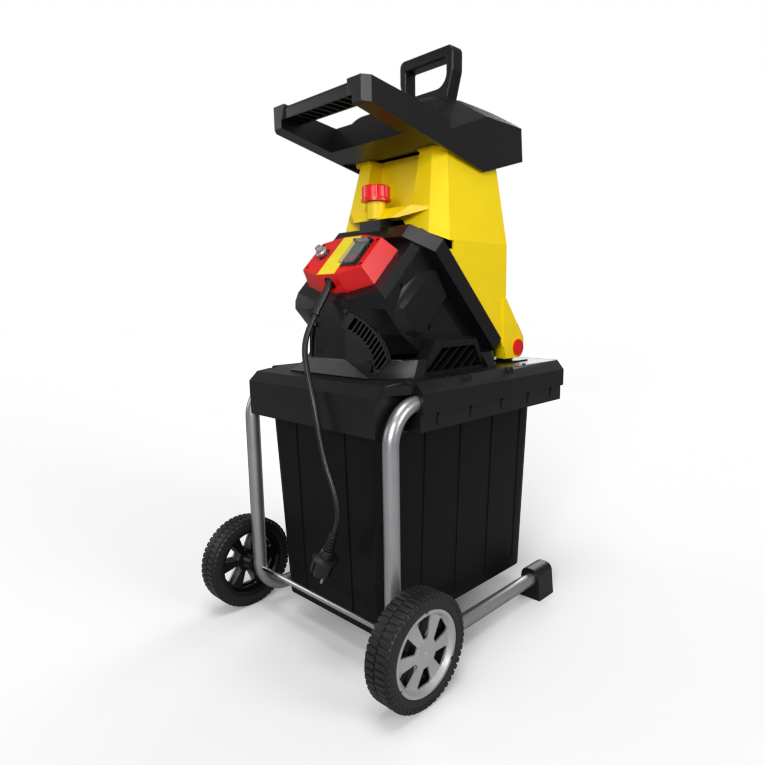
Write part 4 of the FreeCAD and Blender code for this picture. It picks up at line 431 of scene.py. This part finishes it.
def setInput(modifier, name, value):
    # a modifier's input is set by its socket's identifier
    for item in modifier.node_group.interface.items_tree:
        if item.item_type == "SOCKET" and item.in_out == "INPUT" and item.name == name:
            modifier[item.identifier] = value
            return
    raise KeyError(name)


def roundedBlock(name, size, rounding):
    # one block, its own Y running out from the wheel's middle
    work = bmesh.new()
    bmesh.ops.create_cube(work, size=1)
    for vert in work.verts:
        vert.co = Vector(vert.co[i] * size[i] for i in range(3))
        if vert.co.y > 0:
            vert.co.z *= 0.9  # blocks taper outwards so that they leave the mould
            vert.co.x *= 0.96
    bmesh.ops.bevel(work, geom=[e for e in work.edges if max(v.co.y for v in e.verts) > 0],
                    offset=rounding, segments=2, profile=0.6, affect="EDGES")
    block = meshFrom(name, work)
    shadeSmooth(block, tyre["edgeAngle"])
    return block


def bakeNodes(piece):
    # turns a geometry nodes result into a plain mesh
    bpy.context.view_layer.update()
    result = bpy.data.meshes.new_from_object(piece.evaluated_get(bpy.context.evaluated_depsgraph_get()))
    piece.modifiers.clear()
    piece.data = result
    return piece


def joinPieces(name, pieces):
    work = bmesh.new()
    for piece in pieces:
        work.from_mesh(piece.data)
        bpy.data.objects.remove(piece)
    return meshFrom(name, work)


rows = treadTree()
treadBlock = roundedBlock("treadBlock", (tyre["blockWidth"], tyre["treadDepth"] + tyre["blockRoot"],
                                         tyre["blockLength"]), tyre["blockCorner"])
shoulderLug = roundedBlock("shoulderLug", (tyre["lugWidth"], tyre["lugHeight"], tyre["lugLength"]),
                           tyre["lugCorner"])
blockRadius = tyre["radius"] - (tyre["treadDepth"] + tyre["blockRoot"]) / 2
lugRadius = tyre["radius"] - tyre["lugDrop"]
lugPlace = (tyre["width"] - tyre["lugWidth"]) / 2 + tyre["lugStand"]
for side, sign in (("right", 1), ("left", -1)):
    middle = sign * (tyre["face"] - tyre["width"] / 2)
    made = [tyreCarcass(side + "_carcass", middle)]
    layout = ((treadBlock, -tyre["rowOffset"], 0.0, blockRadius), (treadBlock, tyre["rowOffset"], 0.5, blockRadius),
              (shoulderLug, lugPlace, 0.5, lugRadius), (shoulderLug, -lugPlace, 0.0, lugRadius))
    for i, (block, rowPlace, stagger, radius) in enumerate(layout):
        row = linkObject("%s_row_%d" % (side, i), bpy.data.meshes.new("row"))
        modifier = row.modifiers.new("tread", "NODES")
        modifier.node_group = rows
        for name, value in (("Block", block), ("Count", tyre["blocks"]), ("Radius", radius),
                            ("Row Place", rowPlace), ("Stagger", stagger),
                            ("Centre", (middle, tyre["centreY"], tyre["radius"])), ("Finish", tyreRubber)):
            setInput(modifier, name, value)
        made.append(bakeNodes(row))
    treaded = joinPieces(side + "_treaded_tyre", made)
    shadeSmooth(treaded, tyre["edgeAngle"])
    finishWith(treaded, tyreRubber)
    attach(treaded, side + "_wheel")
    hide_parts(side + "_tyre")
for block in (treadBlock, shoulderLug):
    bpy.data.objects.remove(block)
print("tyres treaded")


# trims that are too thin or too small to carry load

def prism(name, corners, low, high, stand):
    # straight-sided solid between two levels, stood in place by a matrix
    work = bmesh.new()
    rings = [[work.verts.new(stand @ Vector((x, y, z))) for x, y in corners] for z in (low, high)]
    work.faces.new(rings[0])
    work.faces.new(rings[1])
    for i in range(len(corners)):
        j = (i + 1) % len(corners)
        work.faces.new((rings[0][i], rings[0][j], rings[1][j], rings[1][i]))
    bmesh.ops.recalc_face_normals(work, faces=work.faces)
    return meshFrom(name, work)


def turned(name, profile, stand, steps=48):
    # solid of revolution about its own Z; the profile runs round a closed ring of (radius, height)
    work = bmesh.new()
    rings = []
    for i in range(steps):
        angle = 2 * math.pi * i / steps
        rings.append([work.verts.new(stand @ Vector((r * math.cos(angle), r * math.sin(angle), z)))
                      for r, z in profile])
    joinRings(work, rings)
    made = meshFrom(name, work)
    shadeSmooth(made)
    return made


switchFace = {
    "place": (0, -0.099, 0.6576), "slope": 45, "height": 0.034,
    "strip": ((-0.024, -0.0442), (0.020, -0.0442), (0.020, 0.0462), (-0.024, 0.0462)), "film": 0.00022,
    "reset": (-0.048, 0.006), "bootTop": 0.043,
}
onSwitch = Matrix.Translation(switchFace["place"]) @ Matrix.Rotation(math.radians(switchFace["slope"]), 4, "X")
top = switchFace["height"]
strip = prism("plain_strip", switchFace["strip"], top - 0.0001, top + switchFace["film"], onSwitch)
finishWith(strip, yellowVinyl)
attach(strip, "root")
atReset = onSwitch @ Matrix.Translation((*switchFace["reset"], 0))
resetBase = turned("reset_base_ring", ((0.0101, top - 0.0002), (0.0133, top - 0.0002), (0.0133, top + 0.0014),
                                       (0.0122, top + 0.0024), (0.0101, top + 0.0024)), atReset)
finishWith(resetBase, glossBlack)
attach(resetBase, "root")
bootTop = switchFace["bootTop"]
resetLip = turned("reset_lip_ring", ((0.0064, bootTop), (0.0102, bootTop - 0.0030), (0.0108, bootTop - 0.0024),
                                     (0.0108, bootTop - 0.0006), (0.0096, bootTop + 0.0008),
                                     (0.0066, bootTop + 0.0008)), atReset)
finishWith(resetLip, silverLacquer)
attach(resetLip, "root")
print("trims added")


# finishes of the solids that are shown as they are

nodeFinish = {
    "right_core": blackMoulding, "left_core": blackMoulding, "axle": brightZinc, "axle_retainers": brightZinc,
    "right_frame_tube": tubeCoat, "left_frame_tube": tubeCoat, "motor_stator": laminations,
    "upper_bearing": groundSteel, "lower_bearing": groundSteel, "cutting_disc": groundSteel,
    "cooling_fan": housingMoulding, "rotor_shaft": groundSteel, "shredder_blades": groundSteel,
    "disc_bolt": brightZinc, "hinge_bracket": blackMoulding, "hinge_pins": brightZinc,
    "hinge_caps": redMoulding, "feed_chute": blackMoulding, "lock_insert": brightZinc,
    "lock_washer": brightZinc, "lock_screw": brightZinc, "lock_knob": redMoulding,
    "switch_unit": glossBlack, "overload_breaker": glossBlack, "switch_plate": glossBlack,
    "stop_button": redKey, "start_button": greenKey, "flap_pin": brightZinc, "switch_flap": clearLid,
    "reset_boot": nickelPlate, "reset_button": clearBoot, "strain_relief": cordSheath,
    "plug_body": cordSheath, "plug_pins": nickelPlate, "right_front_grille": housingMoulding,
    "left_front_grille": housingMoulding, "right_louvre": housingMoulding, "left_louvre": housingMoulding,
    "housing_screws": blackOxide, "hood_screws": blackOxide, "frame_screws": blackOxide,
    "bracket_screws": blackOxide, "switch_screws": blackOxide, "blade_screws": blackOxide,
}
for nodeName, material in nodeFinish.items():
    finishWith(nodes[nodeName], material)
print("solids finished")
